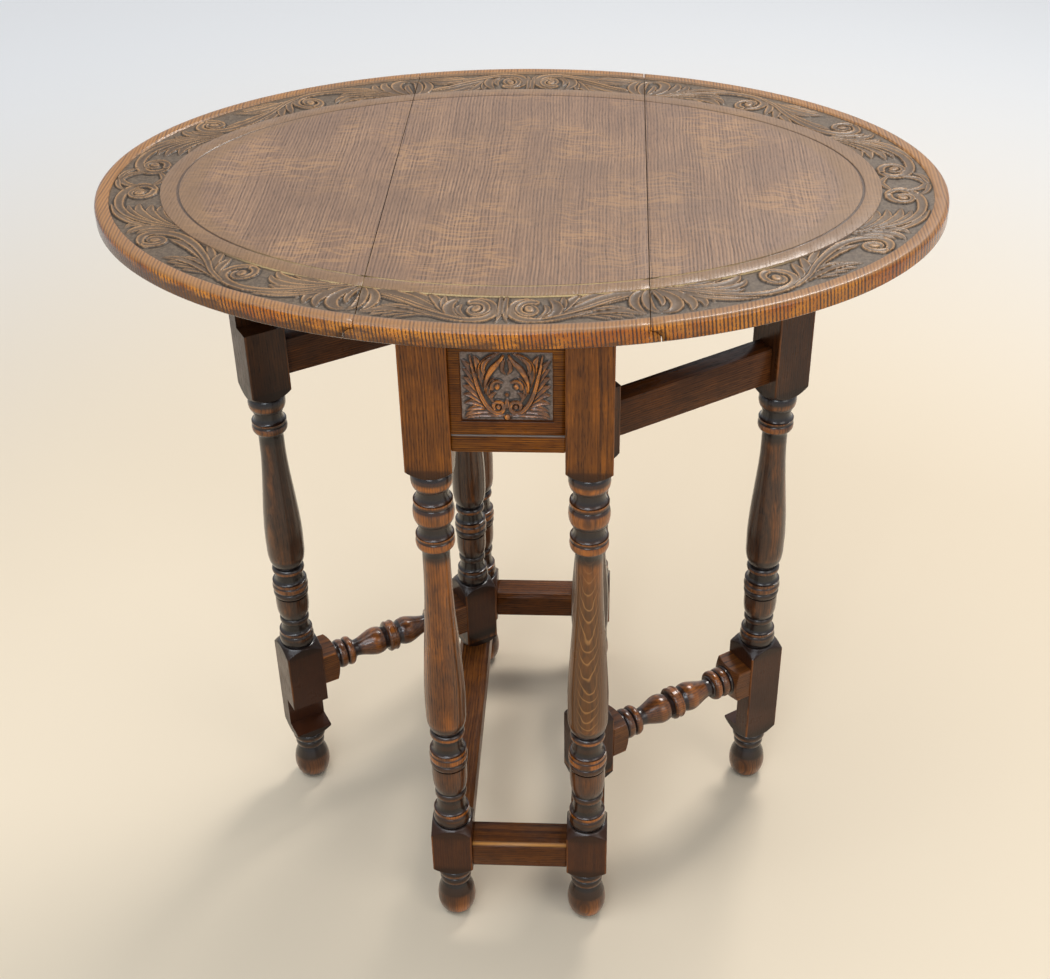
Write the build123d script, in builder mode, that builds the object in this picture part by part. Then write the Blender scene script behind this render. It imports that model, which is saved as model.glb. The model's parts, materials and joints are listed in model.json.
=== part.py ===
"""Oval gateleg table in oak: two drop leaves on rule joints, held up by two swinging gates.

Millimetres. The origin is on the floor under the middle of the top, X runs across the leaves,
Y along the rule joints and Z up. The right-hand side is the left-hand side turned half round.
"""

import os
from math import cos, radians, sin, sqrt

from build123d import *

# Overall
table_height = 730.0
top_length = 744.0
top_width = 533.0

# Top boards
board_thickness = 16.0
centre_board_width = 224.0
edge_round = 4.0
edge_steps = 3
under_chamfer = 1.5
rim_width = 12.5
carved_band_width = 44.5
carving_depth = 2.2
plain_border_width = 14.0
groove_width = 2.4
groove_depth = 1.0

# Rule joints
joint_fillet = 5.5
ovolo_radius = 8.5
joint_gap = 0.8

# Frame
leg_spacing_x = 134.0
leg_spacing_y = 390.0
leg_block = 40.0
lower_block_length = 64.5
top_block_length = 159.6
apron_height = 129.0
apron_thickness = 19.0
apron_setback = 3.0
panel_width = 75.0
panel_height = 65.0
panel_rise = 30.0
panel_depth = 3.0
apron_groove_rise = 16.0
side_rail_height = 126.0
side_rail_thickness = 22.0
stretcher_width = 34.0
stretcher_height = 30.0
stretcher_clearance = 83.0
stretcher_chamfer = 4.0
tenon_length = 16.0
tenon_end_gap = 1.0
rail_tenon_thickness = 8.0
rail_tenon_shoulder = 15.0
stretcher_tenon_thickness = 10.0
stretcher_tenon_height = 20.0
cross_tenon_length = 13.0
glue_block_length = 50.0
glue_block_size = 18.0
glue_block_spread = 90.0

# Gates
gate_span = 212.0
stile_block = 37.5
gate_angle = {"left": 58.5, "right": 56.5}
gate_stop_angle = 60.0
gate_lower_block_length = 128.7
gate_top_block_length = 205.5
gate_rail_height = 37.0
gate_rail_thickness = 21.0
gate_rail_drop = 19.5
gate_stretcher_rise = 157.0
gate_stretcher_block = 17.0
stretcher_ring_width = 13.0
stretcher_beads_width = 23.0
gate_tenon_length = 15.0
gate_tenon_thickness = 9.0
gate_tenon_shoulder = 6.0
stile_top_gap = 2.0
stile_foot_gap = 0.3
stile_chamfer = 6.5
pintle_radius = 6.0
pintle_length = 18.0
pintle_play = 0.05
leaf_gap = 0.3
lap_gap = 1.0
lap_side_gap = 2.5
top_lap_gap = 2.0
lower_lap_rise = 5.0
lower_lap_drop = 1.0
ledge_slope = 3.0

# Turning, from the floor up; crests and necks are shares of half the square blank
foot_pad_radius = 9.0
foot_height = 47.0
ankle_height = 21.5
shoulder_height = 12.0
lower_torus_height = 14.5
lower_neck_height = 18.5
barrel_height = 61.0
gate_lower_neck_height = 14.0
gate_barrel_height = 52.0
neck_bead_height = 15.0
cove_height = 15.0
upper_torus_height = 21.0
collar_height = 17.5
waist_share = 0.69
crest_share = 0.92

# Hinges
hinge_spacing = 320.0
hinge_length = 45.0
flap_thickness = 1.6
fixed_flap_width = 26.0
leaf_flap_width = 38.0
knuckle_radius = 2.4
knuckle_gap = 0.3
hinge_pin_radius = 1.2
hinge_play = 0.05
hinge_recess_gap = 0.4
lift_room = 0.8

# Leaf stops
stop_length = 52.0
stop_width = 16.0
stop_thickness = 10.0
stop_play = 0.5
stop_chamfer = 2.0

# Sizes that follow from the ones above
underside = table_height - board_thickness
seam = centre_board_width / 2
hinge_axis_height = table_height - joint_fillet - ovolo_radius
leg_x = leg_spacing_x / 2
leg_y = leg_spacing_y / 2
half_leg = leg_block / 2
inner_x = leg_x - half_leg
inner_y = leg_y - half_leg
apron_y = leg_y + half_leg - apron_setback - apron_thickness / 2
apron_bottom = underside - apron_height
side_rail_bottom = underside - side_rail_height
stretcher_top = stretcher_clearance + stretcher_height
pivot_y = gate_span / 2
stile_top = side_rail_bottom - stile_top_gap
stile_bottom = stretcher_top + stile_foot_gap
gate_rail_top = stile_top - gate_rail_drop
gate_leg_top = underside - leaf_gap
half_stile = stile_block / 2

SIDES = {"left": Plane(origin=(0, 0, 0), x_dir=(-1, 0, 0)), "right": Plane(origin=(0, 0, 0))}
LEG_SIGNS = {"front_left": (-1, -1), "front_right": (1, -1), "rear_left": (-1, 1), "rear_right": (1, 1)}
ENDS = {"front": -1, "rear": 1}


def shifted(plane, x, y, z=0.0, turn=0.0):
    """A plane with its origin moved and its X direction turned, both in the plane's own terms."""
    return Plane(plane.location * Location((x, y, z), (0, 0, turn)))


def upright(plane):
    """The plane through a turning's own axis, with the radius along X and the height along Y."""
    return Plane(origin=plane.origin, x_dir=plane.x_dir, z_dir=-plane.y_dir)


def own_axis(plane):
    return Axis(plane.origin, plane.z_dir)


class Turning:
    """Half the outline of a turned piece, drawn upwards inside a BuildLine."""

    def __init__(self, blank, radius, height):
        self.girth = blank / 2
        self.start = (0.0, height)
        self.at = (0.0, height)
        self.line_to(radius, height)

    def line_to(self, radius, height):
        Line(self.at, (radius, height))
        self.at = (radius, height)

    def taper(self, height, share):
        self.line_to(share * self.girth, self.at[1] + height)

    def arc_to(self, through, end):
        ThreePointArc(self.at, through, end)
        self.at = end

    def ring(self, height, crest, share):
        """A small round, bevelled up to a flat crest and down again to the given share of the blank."""
        self.taper(0.3 * height, crest)
        self.taper(0.4 * height, crest)
        self.taper(0.3 * height, share)

    def swell(self, height, crest, share):
        """A long round, as one arc through its crest."""
        low = self.at[1]
        self.arc_to((crest * self.girth, low + height / 2), (share * self.girth, low + height))

    def baluster(self, top, belly, neck):
        """A long vase that swells quickly to a low belly and is drawn up to a slim neck."""
        radius, low = self.at
        length = top - low
        wide, slim = belly * self.girth, neck * self.girth
        self.arc_to(((2 * radius + 3 * wide) / 5, low + 0.06 * length), (wide, low + 0.16 * length))
        self.line_to((wide + slim) / 2, low + 0.58 * length)
        self.line_to(slim, top)

    def block(self, length, high_shoulder=True):
        """A stretch left square: the outline keeps outside the blank's corners, between shoulders."""
        base = self.at[1]
        self.line_to(1.45 * self.girth, base + shoulder_height)
        if high_shoulder:
            self.line_to(1.45 * self.girth, base + length - shoulder_height)
            self.line_to(0.9 * self.girth, base + length)
        else:
            self.line_to(1.45 * self.girth, base + length)

    def close(self):
        self.line_to(0.0, self.at[1])
        Line(self.at, self.start)


def draw_foot(turning):
    """A ball on a small pad, and the ankle that opens to the lower block."""
    turning.taper(0.14 * foot_height, 0.8)
    turning.swell(0.62 * foot_height, 0.965, 0.8)
    turning.taper(0.24 * foot_height, 0.63)
    turning.taper(ankle_height, 0.9)


def upper_group_height(tori):
    """From the baluster's neck to the top block: neck bead, coves between tori, collar."""
    return neck_bead_height + cove_height + tori * (upper_torus_height + cove_height) + collar_height


def draw_shaft(turning, top, neck_height, belly_height, tori):
    """All that is turned between the two square blocks, the baluster taking the height left."""
    turning.ring(lower_torus_height, crest_share, 0.8)
    turning.taper(neck_height, waist_share)
    turning.swell(belly_height, crest_share, 0.85)
    turning.taper(neck_height, waist_share)
    turning.baluster(top - upper_group_height(tori), 0.965, 0.615)
    turning.ring(neck_bead_height, 0.86, 0.72)
    turning.taper(cove_height, 0.72)
    for _ in range(tori):
        turning.ring(upper_torus_height, crest_share, 0.72)
        turning.taper(cove_height, 0.72)
    turning.ring(collar_height, crest_share, 0.9)


def frame_leg(sign_x, sign_y):
    """A corner leg, turned from a square blank, with blind mortises in its two inner faces."""
    axis_plane = Plane(origin=(sign_x * leg_x, sign_y * leg_y, 0))
    with BuildPart() as leg:
        with BuildSketch(upright(axis_plane)):
            with BuildLine():
                outline = Turning(leg_block, foot_pad_radius, 0.0)
                draw_foot(outline)
                outline.block(lower_block_length)
                draw_shaft(outline, underside - top_block_length, lower_neck_height, barrel_height, tori=1)
                outline.block(top_block_length, high_shoulder=False)
                outline.close()
            make_face()
        revolve(axis=own_axis(axis_plane))
        with BuildSketch(axis_plane):
            Rectangle(leg_block, leg_block)
        extrude(amount=underside, mode=Mode.INTERSECT)
        for joint in (APRON_TENON, STRETCHER_TENON):
            with Locations((sign_x * inner_x, sign_y * joint.offset, joint.middle)):
                joint.mortise_across(sign_x)
        for joint in (SIDE_RAIL_TENON, SIDE_STRETCHER_TENON):
            with Locations((sign_x * joint.offset, sign_y * inner_y, joint.middle)):
                joint.mortise_along(sign_y)
    return leg.part


class Tenon:
    """A tenon and its mortise: offset is the distance of its middle from the table's middle."""

    def __init__(self, length, thickness, height, middle, offset):
        self.length = length
        self.thickness = thickness
        self.height = height
        self.middle = middle
        self.offset = offset

    def mortise_across(self, sign):
        """Cuts a mortise that goes into a leg along X."""
        depth = self.length + tenon_end_gap
        align = (Align.MIN if sign > 0 else Align.MAX, Align.CENTER, Align.CENTER)
        Box(depth, self.thickness, self.height, align=align, mode=Mode.SUBTRACT)

    def mortise_along(self, sign):
        """Cuts a mortise that goes into a leg along Y."""
        depth = self.length + tenon_end_gap
        align = (Align.CENTER, Align.MIN if sign > 0 else Align.MAX, Align.CENTER)
        Box(self.thickness, depth, self.height, align=align, mode=Mode.SUBTRACT)


APRON_TENON = Tenon(tenon_length, rail_tenon_thickness, apron_height - 2 * rail_tenon_shoulder,
                    underside - apron_height / 2, apron_y)
SIDE_RAIL_TENON = Tenon(tenon_length, rail_tenon_thickness, side_rail_height - 2 * rail_tenon_shoulder,
                        underside - side_rail_height / 2, leg_x)
STRETCHER_TENON = Tenon(cross_tenon_length, stretcher_tenon_thickness, stretcher_tenon_height,
                        stretcher_clearance + stretcher_height / 2, leg_y)
SIDE_STRETCHER_TENON = Tenon(tenon_length, stretcher_tenon_thickness, stretcher_tenon_height,
                             stretcher_clearance + stretcher_height / 2, leg_x)


def apron(sign_y):
    """The board between two end legs, with its sunk panel for the carving and a scratched line."""
    face = sign_y * (apron_y + apron_thickness / 2)
    outward = Plane(origin=(0, face, apron_bottom), x_dir=(-sign_y, 0, 0), z_dir=(0, sign_y, 0))
    with BuildPart() as board:
        with BuildSketch(Plane.XY.offset(apron_bottom)):
            with Locations((0, sign_y * apron_y)):
                Rectangle(2 * inner_x, apron_thickness)
        extrude(amount=apron_height)
        with Locations((0, sign_y * apron_y, APRON_TENON.middle)):
            Box(2 * (inner_x + tenon_length), rail_tenon_thickness, APRON_TENON.height)
        with BuildSketch(outward):
            with Locations((0, panel_rise + panel_height / 2)):
                Rectangle(panel_width, panel_height)
        extrude(amount=-panel_depth, mode=Mode.SUBTRACT)
        with BuildSketch(outward):
            with Locations((0, apron_groove_rise)):
                Rectangle(2 * inner_x, groove_width)
        extrude(amount=-groove_depth, mode=Mode.SUBTRACT)
    return board.part


def side_rail(side):
    """The rail over a gate: it takes the upper pivot and is halved where the gate's leg folds in."""
    with BuildPart() as rail:
        with BuildSketch(side.offset(side_rail_bottom)):
            with Locations((leg_x, 0)):
                Rectangle(side_rail_thickness, 2 * inner_y)
        extrude(amount=side_rail_height)
        with BuildSketch(side.offset(SIDE_RAIL_TENON.middle - SIDE_RAIL_TENON.height / 2)):
            with Locations((leg_x, 0)):
                Rectangle(rail_tenon_thickness, 2 * (inner_y + tenon_length))
        extrude(amount=SIDE_RAIL_TENON.height)
        with BuildSketch(side.offset(side_rail_bottom)):
            with Locations((leg_x - lap_gap / 2, pivot_y)):
                Rectangle(side_rail_thickness, leg_block + 2 * lap_side_gap, align=(Align.MIN, Align.CENTER))
        extrude(amount=side_rail_height, mode=Mode.SUBTRACT)
        with BuildSketch(side.offset(side_rail_bottom)):
            with Locations((leg_x, -pivot_y)):
                Circle(pintle_radius + pintle_play)
        extrude(amount=pintle_length + tenon_end_gap, mode=Mode.SUBTRACT)
    return rail.part


def stretcher(sign_y):
    """The square rail between two end legs, near the floor."""
    with BuildPart() as rail:
        with BuildSketch(Plane.XY.offset(stretcher_clearance)):
            with Locations((0, sign_y * leg_y)):
                Rectangle(2 * inner_x, stretcher_width)
        extrude(amount=stretcher_height)
        chamfer(edges().filter_by(Axis.X).group_by(Axis.Z)[-1], stretcher_chamfer)
        with Locations((0, sign_y * leg_y, STRETCHER_TENON.middle)):
            Box(2 * (inner_x + cross_tenon_length), stretcher_tenon_thickness, stretcher_tenon_height)
    return rail.part


def side_stretcher(side):
    """The long rail under a gate: it takes the lower pivot and is halved for the folded leg."""
    with BuildPart() as rail:
        with BuildSketch(side.offset(stretcher_clearance)):
            with Locations((leg_x, 0)):
                Rectangle(stretcher_width, 2 * inner_y)
        extrude(amount=stretcher_height)
        chamfer(edges().filter_by(Axis.Y).group_by(Axis.Z)[-1], stretcher_chamfer)
        with BuildSketch(side.offset(SIDE_STRETCHER_TENON.middle - stretcher_tenon_height / 2)):
            with Locations((leg_x, 0)):
                Rectangle(stretcher_tenon_thickness, 2 * (inner_y + tenon_length))
        extrude(amount=stretcher_tenon_height)
        with BuildSketch(side.offset(stretcher_clearance)):
            with Locations((leg_x - lap_gap / 2, pivot_y)):
                Rectangle(stretcher_width, leg_block + 2 * lap_side_gap, align=(Align.MIN, Align.CENTER))
        extrude(amount=stretcher_height, mode=Mode.SUBTRACT)
        with BuildSketch(side.offset(stretcher_top)):
            with Locations((leg_x, -pivot_y)):
                Circle(pintle_radius + pintle_play)
        extrude(amount=-(pintle_length + tenon_end_gap), mode=Mode.SUBTRACT)
    return rail.part


def gate_plane(side_name):
    """The gate's own plane: origin at the pivot on the floor, X along the gate, Y to its inner side."""
    return shifted(SIDES[side_name], leg_x, -pivot_y, turn=90.0 - gate_angle[side_name])


def gate_stile(gate):
    """The post that the gate turns on, with a pintle at each end of it."""
    low_block = foot_height + ankle_height + gate_lower_block_length - stile_bottom
    top_block = gate_top_block_length - gate_leg_top + stile_top
    with BuildPart() as stile:
        with BuildSketch(upright(gate)):
            with BuildLine():
                outline = Turning(stile_block, 1.45 * half_stile - stile_chamfer, stile_bottom)
                outline.line_to(1.45 * half_stile, stile_bottom + stile_chamfer)
                outline.line_to(1.45 * half_stile, stile_bottom + low_block - shoulder_height)
                outline.line_to(0.9 * half_stile, stile_bottom + low_block)
                draw_shaft(outline, stile_top - top_block, gate_lower_neck_height, gate_barrel_height, tori=0)
                outline.block(top_block, high_shoulder=False)
                outline.close()
            make_face()
        revolve(axis=own_axis(gate))
        with BuildSketch(gate.offset(stile_bottom)):
            Rectangle(stile_block, stile_block)
        extrude(amount=stile_top - stile_bottom, mode=Mode.INTERSECT)
        for height, thickness, tenon_height in GATE_TENONS:
            with BuildSketch(gate.offset(height - tenon_height / 2)):
                with Locations((half_stile, 0)):
                    Rectangle(gate_tenon_length + tenon_end_gap, thickness, align=(Align.MAX, Align.CENTER))
            extrude(amount=tenon_height, mode=Mode.SUBTRACT)
        with BuildSketch(gate.offset(side_rail_bottom + pintle_length)):
            Circle(pintle_radius)
        extrude(amount=-(pintle_length + stile_top_gap))
        with BuildSketch(gate.offset(stretcher_top - pintle_length)):
            Circle(pintle_radius)
        extrude(amount=pintle_length + stile_foot_gap)
    return stile.part


GATE_TENONS = [
    (gate_rail_top - gate_rail_height / 2, gate_tenon_thickness, gate_rail_height - 2 * gate_tenon_shoulder),
    (gate_stretcher_rise, gate_tenon_thickness, stile_block - 2 * gate_tenon_shoulder),
]


def gate_leg(gate):
    """The swinging leg: halved at the top for the side rail and low down for the side stretcher."""
    leg_plane = shifted(gate, gate_span, 0)
    beyond = leg_block
    lap_face = -lap_gap / 2
    ledge_back = stretcher_clearance - lower_lap_drop
    lap_top = stretcher_top + lower_lap_rise
    with BuildPart() as leg:
        with BuildSketch(upright(leg_plane)):
            with BuildLine():
                outline = Turning(leg_block, foot_pad_radius, 0.0)
                draw_foot(outline)
                outline.block(gate_lower_block_length)
                draw_shaft(outline, gate_leg_top - gate_top_block_length, gate_lower_neck_height,
                           gate_barrel_height, tori=0)
                outline.block(gate_top_block_length, high_shoulder=False)
                outline.close()
            make_face()
        revolve(axis=own_axis(leg_plane))
        with BuildSketch(leg_plane):
            Rectangle(leg_block, leg_block)
        extrude(amount=gate_leg_top, mode=Mode.INTERSECT)
        with BuildSketch(leg_plane.offset(side_rail_bottom - top_lap_gap)):
            with Locations((0, lap_face)):
                Rectangle(2 * beyond, beyond, align=(Align.CENTER, Align.MIN))
        extrude(amount=underside, mode=Mode.SUBTRACT)
        with BuildSketch(Plane(origin=leg_plane.origin, x_dir=leg_plane.y_dir, z_dir=leg_plane.x_dir)):
            with BuildLine():
                Polyline((lap_face, ledge_back), (lap_face, lap_top), (beyond, lap_top),
                         (half_leg, ledge_back - ledge_slope), close=True)
            make_face()
        extrude(amount=beyond, both=True, mode=Mode.SUBTRACT)
        for height, thickness, tenon_height in GATE_TENONS:
            with BuildSketch(leg_plane.offset(height - tenon_height / 2)):
                with Locations((-half_leg, 0)):
                    Rectangle(gate_tenon_length + tenon_end_gap, thickness, align=(Align.MIN, Align.CENTER))
            extrude(amount=tenon_height, mode=Mode.SUBTRACT)
    return leg.part


def gate_rail(gate):
    """The plain upper rail of a gate."""
    middle = (half_stile + gate_span - half_leg) / 2
    length = gate_span - half_leg - half_stile
    height, thickness, tenon_height = GATE_TENONS[0]
    with BuildPart() as rail:
        with BuildSketch(gate.offset(gate_rail_top - gate_rail_height)):
            with Locations((middle, 0)):
                Rectangle(length, gate_rail_thickness)
        extrude(amount=gate_rail_height)
        with BuildSketch(gate.offset(height - tenon_height / 2)):
            with Locations((middle, 0)):
                Rectangle(length + 2 * gate_tenon_length, thickness)
        extrude(amount=tenon_height)
    return rail.part


def gate_stretcher(gate):
    """The turned lower rail of a gate, drawn from its middle to the leg and mirrored to the stile."""
    half_length = (gate_span - half_leg - half_stile) / 2
    vase = half_length - gate_stretcher_block - stretcher_beads_width
    height, thickness, tenon_height = GATE_TENONS[1]
    middle = shifted(gate, half_stile + half_length, 0, height).origin
    along = Plane(origin=middle, x_dir=-gate.z_dir, z_dir=gate.x_dir)
    with BuildPart() as rail:
        with BuildSketch(upright(along)):
            with BuildLine():
                outline = Turning(stile_block, 0.89 * half_stile, 0.0)
                outline.taper(stretcher_ring_width / 2, 0.7)
                outline.taper(0.25 * vase, 0.81)
                outline.taper(0.75 * vase, 0.5)
                for share in (0.66, 0.8):
                    outline.taper(stretcher_beads_width / 4, 0.85)
                    outline.taper(stretcher_beads_width / 4, share)
                outline.block(gate_stretcher_block, high_shoulder=False)
                outline.close()
            make_face()
            mirror(about=Plane.XZ)
        revolve(axis=own_axis(along))
        with BuildSketch(along):
            Rectangle(stile_block, stile_block)
        extrude(amount=half_length, both=True, mode=Mode.INTERSECT)
        for sign in ENDS.values():
            with BuildSketch(along.offset(sign * half_length)):
                Rectangle(tenon_height, thickness)
            extrude(amount=sign * gate_tenon_length)
    return rail.part


def leaf_stop(side):
    """The small block under a leaf that the open gate comes to rest against."""
    gate = shifted(side, leg_x, -pivot_y, turn=90.0 - gate_stop_angle)
    beside_leg = shifted(gate, gate_span, -(half_leg + stop_play), underside)
    with BuildPart() as stop:
        with BuildSketch(beside_leg):
            Rectangle(stop_length, stop_width, align=(Align.CENTER, Align.MAX))
        extrude(amount=-stop_thickness)
        chamfer(edges().group_by(Axis.Z)[0], stop_chamfer)
    return stop.part


def glue_blocks():
    """Three-cornered blocks rubbed into the angle between the centre board and its rails."""
    rail_face = leg_x - side_rail_thickness / 2
    apron_face = apron_y - apron_thickness / 2
    corners = [(Plane(origin=(0, sign * apron_face, underside), x_dir=(0, -sign, 0), z_dir=(sign, 0, 0)), 0.0)
               for sign in ENDS.values()]
    for sign in ENDS.values():
        inward = Plane(origin=(sign * rail_face, 0, underside), x_dir=(-sign, 0, 0), z_dir=(0, -sign, 0))
        corners += [(inward, -glue_block_spread), (inward, glue_block_spread)]
    with BuildPart() as blocks:
        for corner, along in corners:
            with BuildSketch(corner.offset(along)):
                with BuildLine():
                    Polyline((0, 0), (glue_block_size, 0), (0, glue_block_size), close=True)
                make_face()
            extrude(amount=glue_block_length / 2, both=True)
    return blocks.part


def hinge_plane(side, sign_y):
    """A hinge's own plane: origin on the underside below its pin, X towards the edge of the leaf."""
    return shifted(side, seam, sign_y * hinge_spacing / 2, underside)


def knuckle_plane(hinge, along):
    """A plane square to a hinge's pin, at a distance along it from the hinge's middle."""
    centre = shifted(hinge, 0, along, hinge_axis_height - underside).origin
    return Plane(origin=centre, x_dir=hinge.x_dir, z_dir=hinge.y_dir)


def add_flap(hinge, width, spans):
    """One flap let in flush with the underside, and the knuckles that it carries."""
    reach = knuckle_radius + knuckle_gap
    start = reach if width > 0 else -reach
    with BuildSketch(hinge) as plate:
        with Locations(((start + width) / 2, 0)):
            Rectangle(abs(width - start), hinge_length)
        for low, high in spans:
            with Locations((start / 2, (low + high) / 2)):
                Rectangle(reach, high - low)
    extrude(plate.sketch, amount=flap_thickness)
    for low, high in spans:
        with BuildSketch(knuckle_plane(hinge, low)) as knuckle:
            Circle(knuckle_radius)
        extrude(knuckle.sketch, amount=high - low)


def fixed_flap(hinge):
    """The flap on the centre board, with the two end knuckles and the pin riveted in them."""
    end = hinge_length / 2
    inner = hinge_length / 6
    with BuildPart() as flap:
        add_flap(hinge, -fixed_flap_width, [(-end, -inner), (inner, end)])
        with BuildSketch(knuckle_plane(hinge, -inner)):
            Circle(hinge_pin_radius)
        extrude(amount=2 * inner)
    return flap.part


def leaf_flap(hinge):
    """The flap on a leaf, with the middle knuckle bored to run on the pin."""
    inner = hinge_length / 6 - knuckle_gap
    with BuildPart() as flap:
        add_flap(hinge, leaf_flap_width, [(-inner, inner)])
        with BuildSketch(knuckle_plane(hinge, -inner)):
            Circle(hinge_pin_radius + hinge_play)
        extrude(amount=2 * inner, mode=Mode.SUBTRACT)
    return flap.part


def oval(inset):
    """The plan of the top, drawn in from its edge."""
    with BuildSketch() as plan:
        Ellipse(top_length / 2 - inset, top_width / 2 - inset)
    return plan.sketch


def oval_ring(inset, width):
    with BuildSketch() as ring:
        add(oval(inset))
        add(oval(inset + width), mode=Mode.SUBTRACT)
    return ring.sketch


def beyond_joint(sign, gap):
    """The section of all that lies outside a rule joint's curve, held off it by the gap."""
    radius = ovolo_radius + gap
    inner = seam + gap
    crown = hinge_axis_height + sqrt(radius**2 - gap**2)
    middle = (seam + radius / sqrt(2), hinge_axis_height + radius / sqrt(2))
    far, high, low = top_length, table_height + edge_round, underside - edge_round
    with BuildSketch() as section:
        with BuildLine():
            Line((sign * inner, high), (sign * inner, crown))
            ThreePointArc((sign * inner, crown), (sign * middle[0], middle[1]),
                          (sign * (seam + radius), hinge_axis_height))
            Polyline((sign * (seam + radius), hinge_axis_height), (sign * (seam + radius), low),
                     (sign * far, low), (sign * far, high), (sign * inner, high))
        make_face()
    return section.sketch


def edge_section():
    """Heights and insets up the edge of the top: bevelled below, and rounded in even steps above."""
    section = [(underside, under_chamfer), (underside + under_chamfer, 0.0)]
    for step in range(edge_steps + 1):
        angle = radians(90 * step / edge_steps)
        section.append((table_height - edge_round * (1 - sin(angle)), edge_round * (1 - cos(angle))))
    return section


def whole_top():
    """The oval before it is parted into boards: rounded edge, sunk band for carving, groove."""
    groove_inset = rim_width + carved_band_width + plain_border_width
    with BuildPart() as blank:
        for height, inset in edge_section():
            with BuildSketch(Plane.XY.offset(height)):
                add(oval(inset))
        loft(ruled=True)
        with BuildSketch(Plane.XY.offset(table_height)):
            add(oval_ring(rim_width, carved_band_width))
        extrude(amount=-carving_depth, mode=Mode.SUBTRACT)
        with BuildSketch(Plane.XY.offset(table_height)):
            add(oval_ring(groove_inset, groove_width))
        extrude(amount=-groove_depth, mode=Mode.SUBTRACT)
    return blank.part


def centre_board():
    """The fixed board, with an ovolo along each side and recesses for the hinges under it."""
    with BuildPart() as board:
        add(WHOLE_TOP)
        for sign in ENDS.values():
            with BuildSketch(Plane.XZ):
                add(beyond_joint(sign, 0.0))
            extrude(amount=top_width, both=True, mode=Mode.SUBTRACT)
        for hinge in [hinge_plane(side, sign_y) for side in SIDES.values() for sign_y in ENDS.values()]:
            with BuildSketch(hinge):
                Rectangle(fixed_flap_width, hinge_length, align=(Align.MAX, Align.CENTER))
            extrude(amount=flap_thickness, mode=Mode.SUBTRACT)
            with BuildSketch(hinge):
                Rectangle(2 * ovolo_radius, hinge_length + lift_room, align=(Align.MIN, Align.CENTER))
            extrude(amount=flap_thickness + lift_room, mode=Mode.SUBTRACT)
            with BuildSketch(knuckle_plane(hinge, 0)):
                Circle(knuckle_radius + hinge_recess_gap)
            extrude(amount=(hinge_length + lift_room) / 2, both=True, mode=Mode.SUBTRACT)
    return board.part


def leaf(side):
    """A drop leaf, hollowed along its inner edge to ride over the centre board's ovolo."""
    sign = 1 if side.x_dir.X > 0 else -1
    with BuildPart() as board:
        add(WHOLE_TOP)
        with BuildSketch(Plane.XZ):
            add(beyond_joint(sign, joint_gap))
        extrude(amount=top_width, both=True, mode=Mode.INTERSECT)
        for sign_y in ENDS.values():
            with BuildSketch(hinge_plane(side, sign_y)):
                Rectangle(leaf_flap_width, hinge_length, align=(Align.MIN, Align.CENTER))
            extrude(amount=flap_thickness, mode=Mode.SUBTRACT)
    return board.part


def save(name, part):
    part.label = name
    export_step(part, f"parts/{name}.step")


os.makedirs("parts", exist_ok=True)

WHOLE_TOP = whole_top()
save("centre_board", centre_board())
save("glue_blocks", glue_blocks())

for leg_name, signs in LEG_SIGNS.items():
    save(f"leg_{leg_name}", frame_leg(*signs))

for end_name, end_sign in ENDS.items():
    save(f"apron_{end_name}", apron(end_sign))
    save(f"stretcher_{end_name}", stretcher(end_sign))

for side_name, side in SIDES.items():
    save(f"leaf_{side_name}", leaf(side))
    save(f"leaf_stop_{side_name}", leaf_stop(side))
    save(f"side_rail_{side_name}", side_rail(side))
    save(f"side_stretcher_{side_name}", side_stretcher(side))
    gate = gate_plane(side_name)
    save(f"gate_stile_{side_name}", gate_stile(gate))
    save(f"gate_leg_{side_name}", gate_leg(gate))
    save(f"gate_rail_{side_name}", gate_rail(gate))
    save(f"gate_stretcher_{side_name}", gate_stretcher(gate))
    for end_name, end_sign in ENDS.items():
        hinge = hinge_plane(side, end_sign)
        save(f"hinge_{side_name}_{end_name}_fixed_flap", fixed_flap(hinge))
        save(f"hinge_{side_name}_{end_name}_leaf_flap", leaf_flap(hinge))
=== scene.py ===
"""Looks of the oval gateleg table: turned posts, carved band and panels, oak finishes, light and camera.

Metres in the scene; the turner's and carver's sizes below are written in millimetres and scaled by MM.
"""

import json
from contextlib import contextmanager
from functools import partial
from math import atan2, cos, pi, radians, sin, sqrt

import bmesh
import bpy
import numpy as np
from mathutils import Matrix, Vector


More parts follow.
